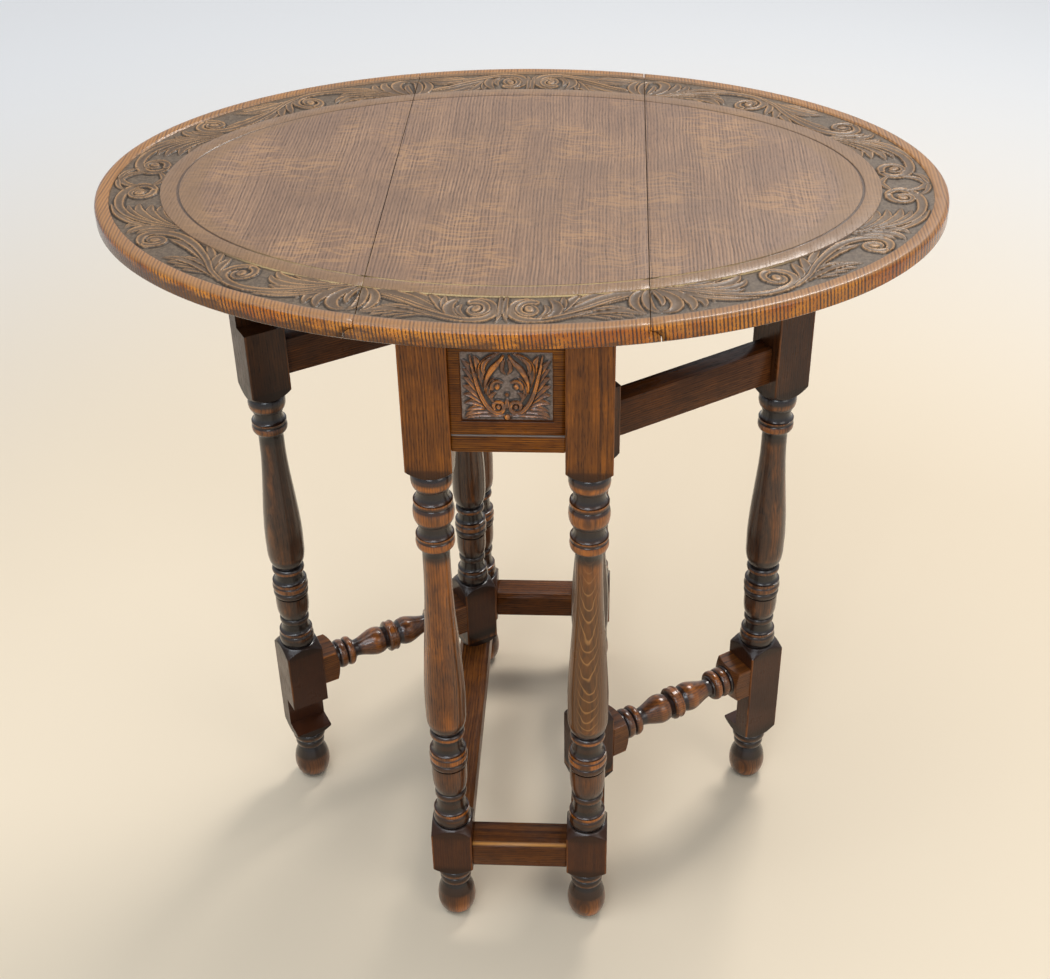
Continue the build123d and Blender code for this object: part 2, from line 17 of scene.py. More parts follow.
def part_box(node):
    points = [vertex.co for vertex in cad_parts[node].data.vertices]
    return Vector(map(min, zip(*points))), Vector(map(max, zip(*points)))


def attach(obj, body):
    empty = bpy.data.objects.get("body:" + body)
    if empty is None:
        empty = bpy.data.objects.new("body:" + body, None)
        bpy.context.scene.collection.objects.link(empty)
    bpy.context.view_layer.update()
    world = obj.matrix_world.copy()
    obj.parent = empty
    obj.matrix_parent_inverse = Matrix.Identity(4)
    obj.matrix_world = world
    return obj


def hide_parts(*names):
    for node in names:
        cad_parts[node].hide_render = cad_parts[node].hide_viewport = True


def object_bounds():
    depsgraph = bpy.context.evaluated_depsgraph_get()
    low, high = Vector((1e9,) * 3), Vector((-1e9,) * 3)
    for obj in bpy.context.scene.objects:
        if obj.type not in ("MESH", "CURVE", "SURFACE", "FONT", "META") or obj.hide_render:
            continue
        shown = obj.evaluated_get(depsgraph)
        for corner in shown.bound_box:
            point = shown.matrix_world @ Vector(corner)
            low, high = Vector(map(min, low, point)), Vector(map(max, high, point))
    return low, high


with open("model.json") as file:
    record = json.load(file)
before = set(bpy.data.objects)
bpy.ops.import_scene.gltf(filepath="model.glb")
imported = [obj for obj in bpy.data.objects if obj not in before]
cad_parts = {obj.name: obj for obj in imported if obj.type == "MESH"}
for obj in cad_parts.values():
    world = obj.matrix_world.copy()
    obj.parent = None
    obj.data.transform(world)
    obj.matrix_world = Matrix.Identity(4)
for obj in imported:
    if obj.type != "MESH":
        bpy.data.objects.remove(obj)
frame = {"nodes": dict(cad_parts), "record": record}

CAD_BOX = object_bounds()
MM = 0.001
SIDES = ("left", "right")
ENDS = ("front", "rear")
TOUCHING = 0.00001      # points this close are one
BAND_SUNK, PANEL_SUNK = 2.2, 3.0        # how deep the carved grounds lie, as part.py sinks them
PANEL_UP = 30.0     # from an apron's lower edge to its panel
BURIED = 0.5        # how far the flat back of a carving lies in the wood


# ---------------------------------------------------------------- places read from the frame

def axis_of(node):
    """The point on the floor under the middle of a post."""
    low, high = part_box(node)
    return Vector(((low.x + high.x) / 2, (low.y + high.y) / 2, 0))


def gate_direction(side):
    """The way that a gate points from its stile to its leg, on the floor."""
    way = axis_of(f"gate_leg_{side}") - axis_of(f"gate_stile_{side}")
    return way.normalized()


def turned_to(direction):
    """The turn about Z that lays X along a direction on the floor."""
    return atan2(direction.y, direction.x)


# ---------------------------------------------------------------- turning

LEG_HALF, STILE_HALF = 20.0, 18.75      # half the square blanks
GATE_SHAFT_LOW = 197.7


class Profile:
    """Half the outline of a turning in millimetres, drawn upwards as rows of (height, radius)."""

    def __init__(self, *rows):
        self.rows = list(rows)

    @property
    def height(self):
        return self.rows[-1][0]

    def curve(self, parts, at):
        """Rows along a curve that gives (height, radius) for a share of the way."""
        self.rows += [at(i / parts) for i in range(1, parts + 1)]
        return self

    def step(self, radius):
        """A sharp step to another radius, a hair higher so that the rows keep rising."""
        self.rows.append((self.height + 0.15, radius))
        return self

    def line(self, top, radius, parts=1):
        low, start = self.rows[-1]
        return self.curve(parts, lambda share: (low + (top - low) * share, start + (radius - start) * share))

    def bead(self, top, crest, end, parts=12):
        """A half round that swells to its crest."""
        low, start = self.rows[-1]
        swell = crest - (start + end) / 2
        return self.curve(parts, lambda share: (low + (top - low) * (1 - cos(pi * share)) / 2,
                                                start + (end - start) * share + swell * sin(pi * share)))

    def cove(self, top, end):
        """A hollow that leaves square to the axis and comes out along it."""
        low, start = self.rows[-1]
        return self.curve(8, lambda share: (low + (top - low) * (1 - cos(pi / 2 * share)),
                                            start + (end - start) * sin(pi / 2 * share)))

    def through(self, points, parts=7):
        """A smooth line through points of (height, radius)."""
        knots = [self.rows[-1], *points]
        for i, (start, end) in enumerate(zip(knots, knots[1:])):
            before, after = knots[max(i - 1, 0)], knots[min(i + 2, len(knots) - 1)]
            span = end[0] - start[0]
            slope_in = (end[1] - before[1]) / (end[0] - before[0])
            slope_out = (after[1] - start[1]) / (after[0] - start[0])
            self.curve(parts, lambda t: (
                start[0] + span * t,
                (2 * t**3 - 3 * t**2 + 1) * start[1] + (t**3 - 2 * t**2 + t) * span * slope_in
                + (3 * t**2 - 2 * t**3) * end[1] + (t**3 - t**2) * span * slope_out))
        return self

    def block(self, top, half, low_shoulder, high_shoulder=None):
        """A stretch left square; each shoulder is (height, radius at its neck), and the top may be plain."""
        outside = 1.5 * half
        self.shoulder(low_shoulder, outside, rising=True)
        if high_shoulder is None:
            return self.line(top, outside, parts=6)
        self.line(top - high_shoulder[0], outside, parts=6)
        return self.shoulder(high_shoulder, outside, rising=False)

    def shoulder(self, form, outside, rising):
        """The sloping shoulder between a neck and the square, which leaves an arch on each face."""
        height, neck = form
        low = self.height
        for share in np.linspace(0, 1, 37)[1:]:
            out = share if rising else 1 - share
            self.rows.append((low + height * share, neck + (outside - neck) * (out + 0.1 * sin(pi * out))))
        return self


def turned_foot():
    """A ball foot with two beads over it, from the floor."""
    profile = Profile((0.0, 0.0), (0.05, 8.6))
    profile.through([(3.5, 13.2), (10, 17.2), (21, 19.3), (33, 18), (42, 14.8), (47, 12.6)])
    return profile.step(13.5).bead(56.5, 15.8, 13.6).bead(67.2, 17.6, 15.4).line(69.8, 17.9)


def lower_rings(profile, heights, fillet, parts):
    """From the lower block to the baluster: a bead, a waist, a barrel, two beads and another waist."""
    bead, edge, hollow, waist, ring, *barrel, quirk, low_bead, high_bead, rim, dip, stem, top = heights
    profile.step(16).bead(bead, 18.3, 16.2).step(fillet).line(edge, fillet).cove(hollow, 14.1)
    profile.line(waist, 13.5, parts).step(13.8).bead(ring, 15.4, 14)
    profile.through(zip(barrel, (16.2, 17, 17))).step(15.8).line(quirk, 15.8).step(16.5)
    profile.bead(low_bead, 18.1, 16.6).bead(high_bead, 18.5, 16.8).step(17.8).line(rim, 17.8)
    profile.cove(dip, 14.3).line(stem, 13.6, parts).step(14).bead(top, 16.7, 13.8)


def baluster(profile, heights):
    profile.through(zip(heights, (17.2, 18.8, 19.15, 19.2, 18.1, 16.4, 14, 12.6, 12.3)))


def neck(profile, low, bead, edge, hollow):
    """The bead and the hollow over the baluster."""
    profile.line(low, 13.5).step(14.4).bead(bead, 17.4, 15.2).step(17).line(edge, 17).cove(hollow, 13.8)


def collar(profile, low, edge, top):
    """The bead under the top block."""
    profile.line(low, 13.7).step(14.8).line(edge, 14.8).bead(top, 18.3, 15.4)


def frame_leg_profile():
    profile = turned_foot().block(133.0, LEG_HALF, (10.5, 18.0), (11.5, 18.4))
    lower_rings(profile, (146.5, 150.5, 156, 167.5, 175.5, 184, 194, 209.5, 210.6, 217.5, 227, 230.5, 236,
                          247.5, 255.5), fillet=17.5, parts=4)
    baluster(profile, (262, 270, 282, 305, 330, 360, 400, 435, 472))
    neck(profile, 475, 486, 489, 497)
    profile.line(500, 13.7).step(14.8).line(502.5, 14.8)
    profile.bead(522, 18.3, 15.2).step(17.3).line(526, 17.3).cove(534, 13.8)
    collar(profile, 537, 539, 556)
    return profile.block(714.0, LEG_HALF, (12.0, 17.8))


def gate_shaft(profile, scale=1.0):
    """What is turned on a gate's post above its lower block, up to the collar, with its radii scaled."""
    below = len(profile.rows)
    lower_rings(profile, [GATE_SHAFT_LOW + up for up in (14, 17.5, 23, 28.5, 36, 43, 52, 64, 65.2, 72, 80.5,
                                                         84, 89, 95, 103)], fillet=17.4, parts=3)
    low, top = profile.height, 464.5
    baluster(profile, [low + (top - low) * share
                       for share in (0.04, 0.09, 0.16, 0.27, 0.4, 0.53, 0.7, 0.84, 1.0)])
    neck(profile, 467.0, 477, 480, 487.5)
    collar(profile, 490, 492.5, 508.5)
    profile.rows[below:] = [(height, radius * scale) for height, radius in profile.rows[below:]]


def gate_leg_profile(top):
    profile = turned_foot().block(197.5, LEG_HALF, (10.5, 18.0), (11.5, 18.4))
    gate_shaft(profile)
    return profile.block(top, LEG_HALF, (12.0, 17.8))


def gate_stile_profile(low, top):
    outside = 1.5 * STILE_HALF
    profile = Profile((low, 0.0), (low + 0.05, outside - 7.5))
    profile.line(low + 6.5, outside, 12).line(186.0, outside, 6)
    profile.shoulder((11.5, 17.2), outside, rising=False)
    gate_shaft(profile, scale=0.93)
    return profile.block(top, STILE_HALF, (12.0, 16.6))


def gate_stretcher_profile(half_length):
    """One half of a gate's turned rail, from its middle outwards."""
    profile = Profile((0.0, 16.6))
    profile.line(2.0, 16.6).bead(6.5, 16.9, 12.8, parts=6).step(12.2).line(8.0, 12.2)
    profile.through([(11.5, 14.2), (16, 15.3), (21, 15.2), (28, 13.2), (35, 10.8), (41, 9.4), (45, 9.3)],
                    parts=5)
    profile.step(11.5).line(46.6, 11.8).step(13.0).bead(55.5, 16.1, 12.6, parts=10)
    profile.step(13.2).bead(65.5, 16.0, 13.4, parts=10).step(14.6).line(67.5, 14.8)
    return profile.block(half_length, STILE_HALF, (5.5, 15.5))


def around():
    """Angles round a turning, closer together by the corners of its square blank."""
    eighth = [0.0, 0.7, 1.5, 2.6, 4.2, *np.linspace(6.5, 45.0, 9)]
    angles = []
    for corner in (45.0, 135.0, 225.0, 315.0):
        angles += [corner - a for a in reversed(eighth[1:])] + [corner + a for a in eighth[:-1]]
    return np.radians(np.array(angles))


def running_mean(heights, values, span):
    """The mean of a turning's rows over a span below and above each of them."""
    step = 0.5
    fine = np.arange(heights[0] - span, heights[-1] + span, step)
    window = np.ones(int(2 * span / step) + 1)
    mean = np.convolve(np.interp(fine, heights, values), window / window.size, mode="same")
    return np.interp(heights, fine, mean)


def crests(heights, radii, span):
    """How far each row of a turning stands out from its neighbours, from -1 in a hollow to 1 on a crest."""
    full = 1.8
    return np.clip((radii - running_mean(heights, radii, span)) / full, -1, 1)


def lathe(name, profile, half):
    """A closed mesh about its own Z axis: the profile, kept inside a square blank with eased corners."""
    blunt, soft = 0.55, 0.35        # cut off each corner, and the width over which round runs into square
    heights, radii = np.array(profile.rows).T
    angles = around()
    square = half / np.maximum(np.abs(np.cos(angles)), np.abs(np.sin(angles)))
    square = np.minimum(square, sqrt(2) * half - blunt)
    gap = np.abs(radii[:, None] - square)
    reach = np.minimum(radii[:, None], square) - np.where(gap < soft, (soft - gap) ** 2 / (4 * soft), 0.0)
    reach = np.maximum(reach, 0.0)
    rows, count = reach.shape
    points = np.stack([reach * np.cos(angles), reach * np.sin(angles), np.outer(heights, np.ones(count))], -1)
    faces = [(i * count + j, i * count + k, (i + 1) * count + k, (i + 1) * count + j)
             for i in range(rows - 1) for j, k in enumerate([*range(1, count), 0])]
    faces += [tuple(reversed(range(count))), tuple(range((rows - 1) * count, rows * count))]
    obj = mesh_object(name, points.reshape(-1, 3) * MM, faces)
    note_wear_and_shade(obj, heights, radii, reach, half)
    return obj


def note_wear_and_shade(obj, heights, radii, reach, half):
    """Notes rubbed crests and hollows for painted shade, close rings, and where a turning is round, not
    square.
    """
    inside, all_round = np.minimum(radii, half), np.ones(reach.shape[1])
    stands = crests(heights, inside, span=7.0)
    broad = crests(heights, inside, span=15.0) * (radii < half)
    slope = np.abs(np.gradient(radii)) / np.maximum(np.gradient(heights), 0.01)
    upright = np.clip(1.4 - slope / 0.45, 0, 1)
    rubbed_and_shaded = np.where(stands > -0.1, np.maximum(stands, broad) * upright, stands)
    corner = np.clip((reach / half - 1.3) / 0.08, 0, 1)
    note(obj, "wear", np.clip(rubbed_and_shaded[:, None] + 0.6 * corner, -1, 1))
    note(obj, "busy", np.outer(running_mean(heights, np.abs(stands), span=12.0), all_round))
    note(obj, "turned", np.outer(np.clip(half - radii, 0, 1), all_round))


def note(obj, name, values):
    """Keeps one value for each vertex, for the materials to read."""
    obj.data.attributes.new(name, "FLOAT", "POINT").data.foreach_set("value", values.ravel())


def link(obj):
    bpy.context.scene.collection.objects.link(obj)
    return obj


def mesh_object(name, points, faces, smooth=True):
    mesh = bpy.data.meshes.new(name)
    mesh.from_pydata([tuple(p) for p in points], [], faces)
    mesh.validate()
    mesh.polygons.foreach_set("use_smooth", [smooth] * len(mesh.polygons))
    return link(bpy.data.objects.new(name, mesh))


@contextmanager
def edited(obj):
    """A piece's mesh, open for edits, and written back with its faces turned outwards."""
    mesh = bmesh.new()
    mesh.from_mesh(obj.data)
    yield mesh
    bmesh.ops.recalc_face_normals(mesh, faces=mesh.faces)
    mesh.to_mesh(obj.data)
    mesh.free()


def weld(obj):
    """Joins vertices that lie on each other, such as a row that has closed on the axis."""
    with edited(obj) as mesh:
        bmesh.ops.remove_doubles(mesh, verts=mesh.verts, dist=TOUCHING)
        bmesh.ops.dissolve_degenerate(mesh, edges=mesh.edges, dist=TOUCHING)
    return obj


def sharpen(obj, angle=38.0):
    """Smooth shading, broken at edges that turn by more than the angle."""
    with bpy.context.temp_override(object=obj, active_object=obj, selected_objects=[obj],
                                   selected_editable_objects=[obj]):
        bpy.ops.object.shade_smooth_by_angle(angle=radians(angle))
    return obj


def cut_away(obj, *cutters):
    """Takes the cutters' volume out of a piece, and removes the cutters."""
    for cutter in cutters:
        tool = obj.modifiers.new("cut", "BOOLEAN")
        tool.operation = "DIFFERENCE"
        tool.solver = "EXACT"
        tool.object = cutter
        with bpy.context.temp_override(object=obj, active_object=obj):
            bpy.ops.object.modifier_apply(modifier=tool.name)
        bpy.data.objects.remove(cutter)


def prism(name, outline, depth_axis, low, high):
    """A closed prism: its outline lies in the two other axes, in metres."""
    points = [[*point[:depth_axis], depth, *point[depth_axis:]] for depth in (low, high) for point in outline]
    n = len(outline)
    faces = [tuple(range(n)), tuple(reversed(range(n, 2 * n)))]
    faces += [(i, i + n, (i + 1) % n + n, (i + 1) % n) for i in range(n)]
    return weld(mesh_object(name, points, faces, smooth=False))


def box_solid(name, low, high):
    outline = [(low[0], low[1]), (high[0], low[1]), (high[0], high[1]), (low[0], high[1])]
    return prism(name, outline, 2, low[2], high[2])


def join(target, others):
    with bpy.context.temp_override(object=target, active_object=target,
                                   selected_editable_objects=[target, *others],
                                   selected_objects=[target, *others]):
        bpy.ops.object.join()
    return target


def set_down(obj, place, turn=0.0):
    """Moves a mesh made about the origin to its place, with the place in its vertices."""
    obj.data.transform(Matrix.Translation(place) @ Matrix.Rotation(turn, 4, "Z"))


def dress(obj, node, body):
    """A piece that stands for a CAD node: it rides on the node's body, and the node is hidden."""
    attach(obj, body)
    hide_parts(node)


def frame_legs():
    profile = frame_leg_profile()
    for end in ENDS:
        for side in SIDES:
            node = f"leg_{end}_{side}"
            leg = sharpen(weld(lathe(f"turned_{node}", profile, LEG_HALF)))
            set_down(leg, axis_of(node))
            dress(leg, node, "frame")
            yield leg


def gate_legs():
    """The gates' outer legs, with the two notches that close over the frame."""
    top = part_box("gate_leg_left")[1].z / MM
    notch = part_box("side_rail_left")[0].z - 2 * MM
    low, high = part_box("side_stretcher_left")
    far, lap, above, ledge = 40 * MM, -0.5 * MM, high.z + 5 * MM, low.z - 1 * MM
    for side in SIDES:
        node = f"gate_leg_{side}"
        leg = weld(lathe(f"turned_{node}", gate_leg_profile(top), LEG_HALF))
        upper = box_solid("upper_notch", (-far, lap, notch), (far, far, 1.0))
        lower = prism("lower_notch", [(lap, ledge), (far, ledge - 6 * MM), (far, above), (lap, above)],
                      0, -far, far)
        cut_away(leg, upper, lower)
        sharpen(leg)
        set_down(leg, axis_of(node), turned_to(gate_direction(side)))
        dress(leg, node, f"{side}_gate")
        yield leg


def gate_stiles():
    """The gates' inner posts, each with a pintle at both ends."""
    low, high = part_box("gate_stile_left")
    pintle, radius = 18.0, 6.0
    bottom, top = low.z / MM + pintle, high.z / MM - pintle
    for side in SIDES:
        node = f"gate_stile_{side}"
        stile = sharpen(weld(lathe(f"turned_{node}", gate_stile_profile(bottom, top), STILE_HALF)))
        pins = []
        for start in (low.z / MM, top - 0.5):
            pin = Profile((start, 0.0), (start + 0.02, radius - 0.6))
            pin.line(start + 0.6, radius).line(start + pintle - 0.1, radius)
            pin.line(start + pintle + 0.5, radius - 0.5)
            pins.append(lathe("pintle", pin, STILE_HALF))
        join(stile, pins)
        set_down(stile, axis_of(node), turned_to(gate_direction(side)))
        dress(stile, node, f"{side}_gate")
        yield stile


def gate_stretchers():
    """The gates' turned rails, mirrored about their middles, with a tenon at both ends."""
    tenon, thick, tall, height = 15.0, 4.5 * MM, 12.75 * MM, 157.0
    lay_down = Matrix(((0, 0, 1), (0, 1, 0), (-1, 0, 0))).to_4x4()
    for side in SIDES:
        node = f"gate_stretcher_{side}"
        start, end = axis_of(f"gate_stile_{side}"), axis_of(f"gate_leg_{side}")
        half = ((end - start).length / MM - LEG_HALF - STILE_HALF) / 2
        along = gate_direction(side)
        middle = start + along * ((STILE_HALF + half) * MM) + Vector((0, 0, height * MM))
        profile = gate_stretcher_profile(half)
        below = [(-h, r) for h, r in reversed(profile.rows)]
        profile.rows = below[:-1] + profile.rows
        rail = sharpen(weld(lathe(f"turned_{node}", profile, STILE_HALF)))
        join(rail, [box_solid("tenon", (-tall, -thick, low * MM), (tall, thick, high * MM))
                    for low, high in ((-half - tenon, -half), (half, half + tenon))])
        turn = Matrix.Rotation(turned_to(along), 4, "Z")
        rail.data.transform(Matrix.Translation(middle) @ turn @ lay_down)
        dress(rail, node, f"{side}_gate")
        yield rail


# ---------------------------------------------------------------- carving

def smooth_line(*points):
    """A smooth line through points of (along, across)."""
    knots = np.array(points, float)
    knots = np.vstack([2 * knots[0] - knots[1], knots, 2 * knots[-1] - knots[-2]])
    t = np.linspace(0, 1, 8, endpoint=False)[:, None]
    line = [0.5 * (2 * b + (c - a) * t + (2 * a - 5 * b + 4 * c - d) * t**2 + (3 * b - a - 3 * c + d) * t**3)
            for a, b, c, d in zip(knots, knots[1:], knots[2:], knots[3:])]
    return np.vstack(line + [knots[-2:-1]])


def winding(centre, start, turns, radius, end_radius, squash):
    """A spiral that winds inwards: its first angle is in degrees and its turns are signed."""
    share = np.linspace(0, 1, int(24 * abs(turns)) + 2)
    angle = np.radians(start) + 2 * pi * turns * share
    reach = radius + (end_radius - radius) * share**0.8
    return np.stack([centre[0] + squash * reach * np.cos(angle), centre[1] + reach * np.sin(angle)], 1)


def eased(share):
    return share**2 * (3 - 2 * share)


class Carving:
    """Heights in millimetres over a patch of sunk ground, laid stroke by stroke."""

    def __init__(self, along, across, depth):
        self.x, self.y = np.meshgrid(along, across, indexing="ij")
        self.heights = np.zeros_like(self.x)
        self.depth = depth

    def window(self, line, reach):
        """The rows and columns near a line."""
        x, y = self.x[:, 0], self.y[0]
        first, last = np.searchsorted(x, (line[:, 0].min() - reach, line[:, 0].max() + reach))
        low, high = np.searchsorted(y, (line[:, 1].min() - reach, line[:, 1].max() + reach))
        return slice(first, last), slice(low, high)

    def measure(self, line, part):
        """Distance to a line and share along it, at each point of a window."""
        x, y = self.x[part], self.y[part]
        nearest, share = np.full(x.shape, 1e9), np.zeros(x.shape)
        steps = np.diff(line, axis=0)
        lengths = np.maximum(np.hypot(steps[:, 0], steps[:, 1]), 1e-6)
        run, total = 0.0, lengths.sum()
        for (x0, y0), (dx, dy), length in zip(line, steps, lengths):
            t = np.clip(((x - x0) * dx + (y - y0) * dy) / length**2, 0, 1)
            distance = np.hypot(x - x0 - t * dx, y - y0 - t * dy)
            closer = distance < nearest
            nearest = np.where(closer, distance, nearest)
            share = np.where(closer, (run + t * length) / total, share)
            run += length
        return nearest, share

    def lay(self, part, inside, height):
        """Lays a form over what is there, a fine valley around it: inside is the way in from its outline."""
        cover = eased(np.clip(inside / 0.75 + 0.5, 0, 1))
        valley = 0.5 * np.clip(1 - np.abs(inside + 0.45) / 0.9, 0, 1)
        self.heights[part] = self.heights[part] * (1 - valley) * (1 - cover) + height * cover

    def stroke(self, line, widest, half_at, height_at):
        """A form along a line: its half width by the share along it, its height by how far across it is."""
        part = self.window(line, widest + 1.5)
        distance, share = self.measure(line, part)
        half = half_at(share)
        across = np.clip(distance / np.maximum(half, 0.05), 0, 1)
        self.lay(part, half - distance, self.depth * height_at(across, share))

    def leaf(self, width, *points, belly=0.58, hollow=0.42):
        """A gouged leaf: hollow between two raised rims, pointed at its tip."""
        self.stroke(smooth_line(*points), width,
                    lambda share: width * np.where(
                        share < belly, 0.35 + 0.65 * np.sin(pi / 2 * share / belly),
                        np.cos(pi / 2 * np.clip((share - belly) / (1 - belly), 0, 1)) ** 0.75),
                    lambda across, share: ((hollow + (0.97 - hollow) * across**2.2)
                                           * (0.82 + 0.18 * np.sin(pi * share))))

    def short_leaves(self, width, lift, *ends):
        """Leaves that bend a little between their two ends."""
        for (x0, y0), (x1, y1) in ends:
            self.leaf(width, (x0, y0), ((x0 + x1) / 2 + 2, (y0 + y1) / 2 + lift), (x1, y1), hollow=0.45)

    def stem(self, line, widths, height_at):
        """A form whose half width runs through the given values."""
        self.stroke(line, max(widths), lambda share: np.interp(share, np.linspace(0, 1, len(widths)), widths),
                    height_at)

    def scroll(self, line, widths, hollow=0.5):
        """A gouged stem: two rims with a hollow between."""
        self.stem(line, widths, lambda across, share: hollow + (0.97 - hollow) * across**1.8)

    def ridge(self, line, widths, low):
        """A round cord."""
        self.stem(line, widths, lambda across, share: low + (1.0 - low) * np.sqrt(1 - across**2))

    def boss(self, centre, size, turn=0.0):
        """A domed eye."""
        corners = np.array([centre]) + max(size) * np.array([[-1], [1]])
        part = self.window(corners, 1.5)
        c, s = cos(radians(turn)), sin(radians(turn))
        dx, dy = self.x[part] - centre[0], self.y[part] - centre[1]
        out = np.hypot((c * dx + s * dy) / size[0], (c * dy - s * dx) / size[1])
        height = self.depth * (0.45 + 0.55 * np.sqrt(np.clip(1 - out**2, 0, 1)))
        self.lay(part, (1 - out) * min(size), height)

    def tooled(self, amount, spacing, seed):
        """Uneven ground and faint tool marks."""
        rows, columns = self.heights.shape
        coarse = np.random.default_rng(seed).uniform(-1, 1, (rows // spacing + 3, columns // spacing + 3))
        i, j = np.arange(rows) / spacing, np.arange(columns) / spacing
        i0, j0 = i.astype(int), j.astype(int)
        fi, fj = eased((i - i0)[:, None]), eased((j - j0)[None, :])
        a, b, c, d = (coarse[np.ix_(i0 + di, j0 + dj)] for dj in (0, 1) for di in (0, 1))
        return amount * ((a * (1 - fi) + b * fi) * (1 - fj) + (c * (1 - fi) + d * fi) * fj)


def first_scroll(band):
    """From the middle of a long side to the seam: the first volute and the leaves that spring from it."""
    band.short_leaves(3.4, 1.5, ((60, 13.5), (79, 4.5)), ((68, 14.5), (88, 4.5)), ((77, 15), (97, 4.5)))
    band.leaf(4.6, (44, 11), (60, 14.5), (76, 17), (90, 15.5), (105, 7))
    band.leaf(2.6, (46, 15), (60, 18.5), (74, 21), (88, 21.5), (97, 18), hollow=0.5)
    band.leaf(3.6, (44, 24), (56, 33), (72, 41), (92, 46))
    band.leaf(4.8, (46, 19), (62, 28), (80, 36.5), (100, 41.5), (119, 39))
    band.leaf(3.2, (46, 16), (64, 23.5), (82, 31), (100, 35.5), (117, 36), hollow=0.6)
    band.leaf(4.2, (38, 13), (47, 24), (54, 35), (64, 46))
    band.leaf(3.4, (34, 12), (42, 20), (47, 31), (49, 44))
    band.leaf(4.6, (28, 8), (36, 12.5), (41, 20), (42, 30), (37, 41), hollow=0.32)
    band.leaf(2.4, (27, 12), (32, 17), (34.5, 24), (32.5, 32))
    band.scroll(smooth_line((66, 17.5), (52, 12.5), (38, 8.5), (24, 6.8), (13, 9.5), (7, 17.5), (7, 27),
                             (11.5, 34.5), (19, 37.5), (26.5, 34.5)), (1.4, 2.2, 3.2, 3.8, 3.9, 3.4, 2.4))
    band.scroll(winding((20.5, 23.5), 60, 1.05, 12.4, 5.4, 0.84), (3.2, 3.0, 2.6, 2.0, 1.4))
    band.boss((20.3, 24.3), (3.9, 5.4), 14)
    band.ridge(smooth_line((30, 8.5), (48, 15), (66, 22.5), (84, 31), (101, 36.5)), (0.6, 1.3, 1.1, 0.8), 0.7)
    band.leaf(2.3, (2.4, 47), (2.0, 34), (1.6, 23), (2.4, 13), (4.6, 4), belly=0.35, hollow=0.5)


def fan(band):
    """The fan of flutes that opens towards the rim beside the seam."""
    band.leaf(4.2, (121, 47), (109, 39), (102.5, 28), (102, 17), (106, 7))
    band.leaf(3.8, (136, 46), (149, 38), (158, 29), (162, 20), (160, 12))
    band.leaf(4.6, (132, 46), (144, 36), (151, 25), (153, 15), (150, 6))
    band.leaf(4.8, (128, 46), (138, 36), (143.5, 24), (143.5, 13), (139, 4))
    band.leaf(4.4, (122, 46), (115, 35), (112, 24), (112, 14), (117, 7))
    band.leaf(5.2, (123, 46), (130, 36), (133.5, 25), (132, 15), (125, 8), (117, 9), hollow=0.35)
    band.leaf(3.0, (123, 44), (124, 35), (124, 25), (121, 16.5), hollow=0.55)


def second_scroll(band):
    """The stem that rises to the rim and over the second volute, with the lobed leaf under it."""
    band.leaf(3.2, (152, 43), (166, 42), (180, 44), (189, 48))
    band.leaf(4.8, (144, 42), (162, 36.5), (180, 34.5), (194, 38), (204, 46))
    band.leaf(4.0, (150, 38), (166, 30.5), (182, 27.5), (195, 30), (203, 37))
    band.leaf(3.6, (154, 34), (168, 26), (181, 21.5), (193, 22.5))
    band.leaf(2.8, (146, 30), (160, 19), (176, 10.5), (194, 5), hollow=0.6)
    band.scroll(smooth_line((130, 46), (146, 38), (160, 28.5), (174, 19.5), (188, 12.5), (203, 8.5), (218, 9),
                             (230, 14), (236, 23), (235, 33), (228, 39.5), (219, 39)),
                (2.2, 2.4, 2.7, 3.2, 3.6, 3.8, 3.2, 2.2))
    band.scroll(winding((223, 26.5), 85, 0.95, 12.2, 5.2, 0.86), (3.2, 3.0, 2.6, 1.9, 1.4))
    band.boss((223.6, 26.6), (3.9, 5.6), -22)
    band.leaf(3.4, (250, 22), (262, 31), (274, 39), (290, 46))
    band.leaf(3.8, (240, 14), (252, 25), (260, 35), (267, 46))
    band.leaf(3.4, (236, 13), (244, 23), (249, 33), (253, 42))
    band.short_leaves(3.0, 1.2, ((246, 12), (264, 4)), ((255, 13.5), (274, 4.5)), ((264, 14), (283, 4.5)))
    band.leaf(4.6, (236, 11), (252, 15.5), (267, 17.5), (281, 14.5), (292, 6.5))
    band.leaf(2.6, (244, 17), (258, 21), (272, 22), (285, 17.5), hollow=0.5)


def third_scroll(band):
    """The stem that dips along the inner edge and curls up into the third volute, and the leaves beyond."""
    band.leaf(3.6, (264, 25), (282, 30), (300, 32.5), (319, 29), belly=0.68, hollow=0.55)
    band.scroll(smooth_line((228, 9), (246, 17), (262, 26.5), (280, 34), (298, 38.5), (316, 38.5), (329, 33),
                             (336, 23.5), (334.5, 13), (326, 6.8), (316, 6.8)),
                (1.8, 2.0, 2.6, 3.4, 4.2, 4.2, 3.6, 2.6), hollow=0.45)
    band.scroll(winding((323, 17.5), -112, -0.9, 10.8, 4.8, 0.92), (3.2, 2.9, 2.4, 1.8, 1.4))
    band.boss((322.5, 18.2), (3.7, 4.6), 20)
    band.leaf(4.2, (337, 44), (350, 34), (357, 24), (360, 14), (357, 5))
    band.leaf(4.4, (335, 42), (345, 31), (349.5, 20), (349, 11), (345, 3))
    band.leaf(3.0, (333, 38), (341, 28), (343.5, 19), (342, 10), hollow=0.5)


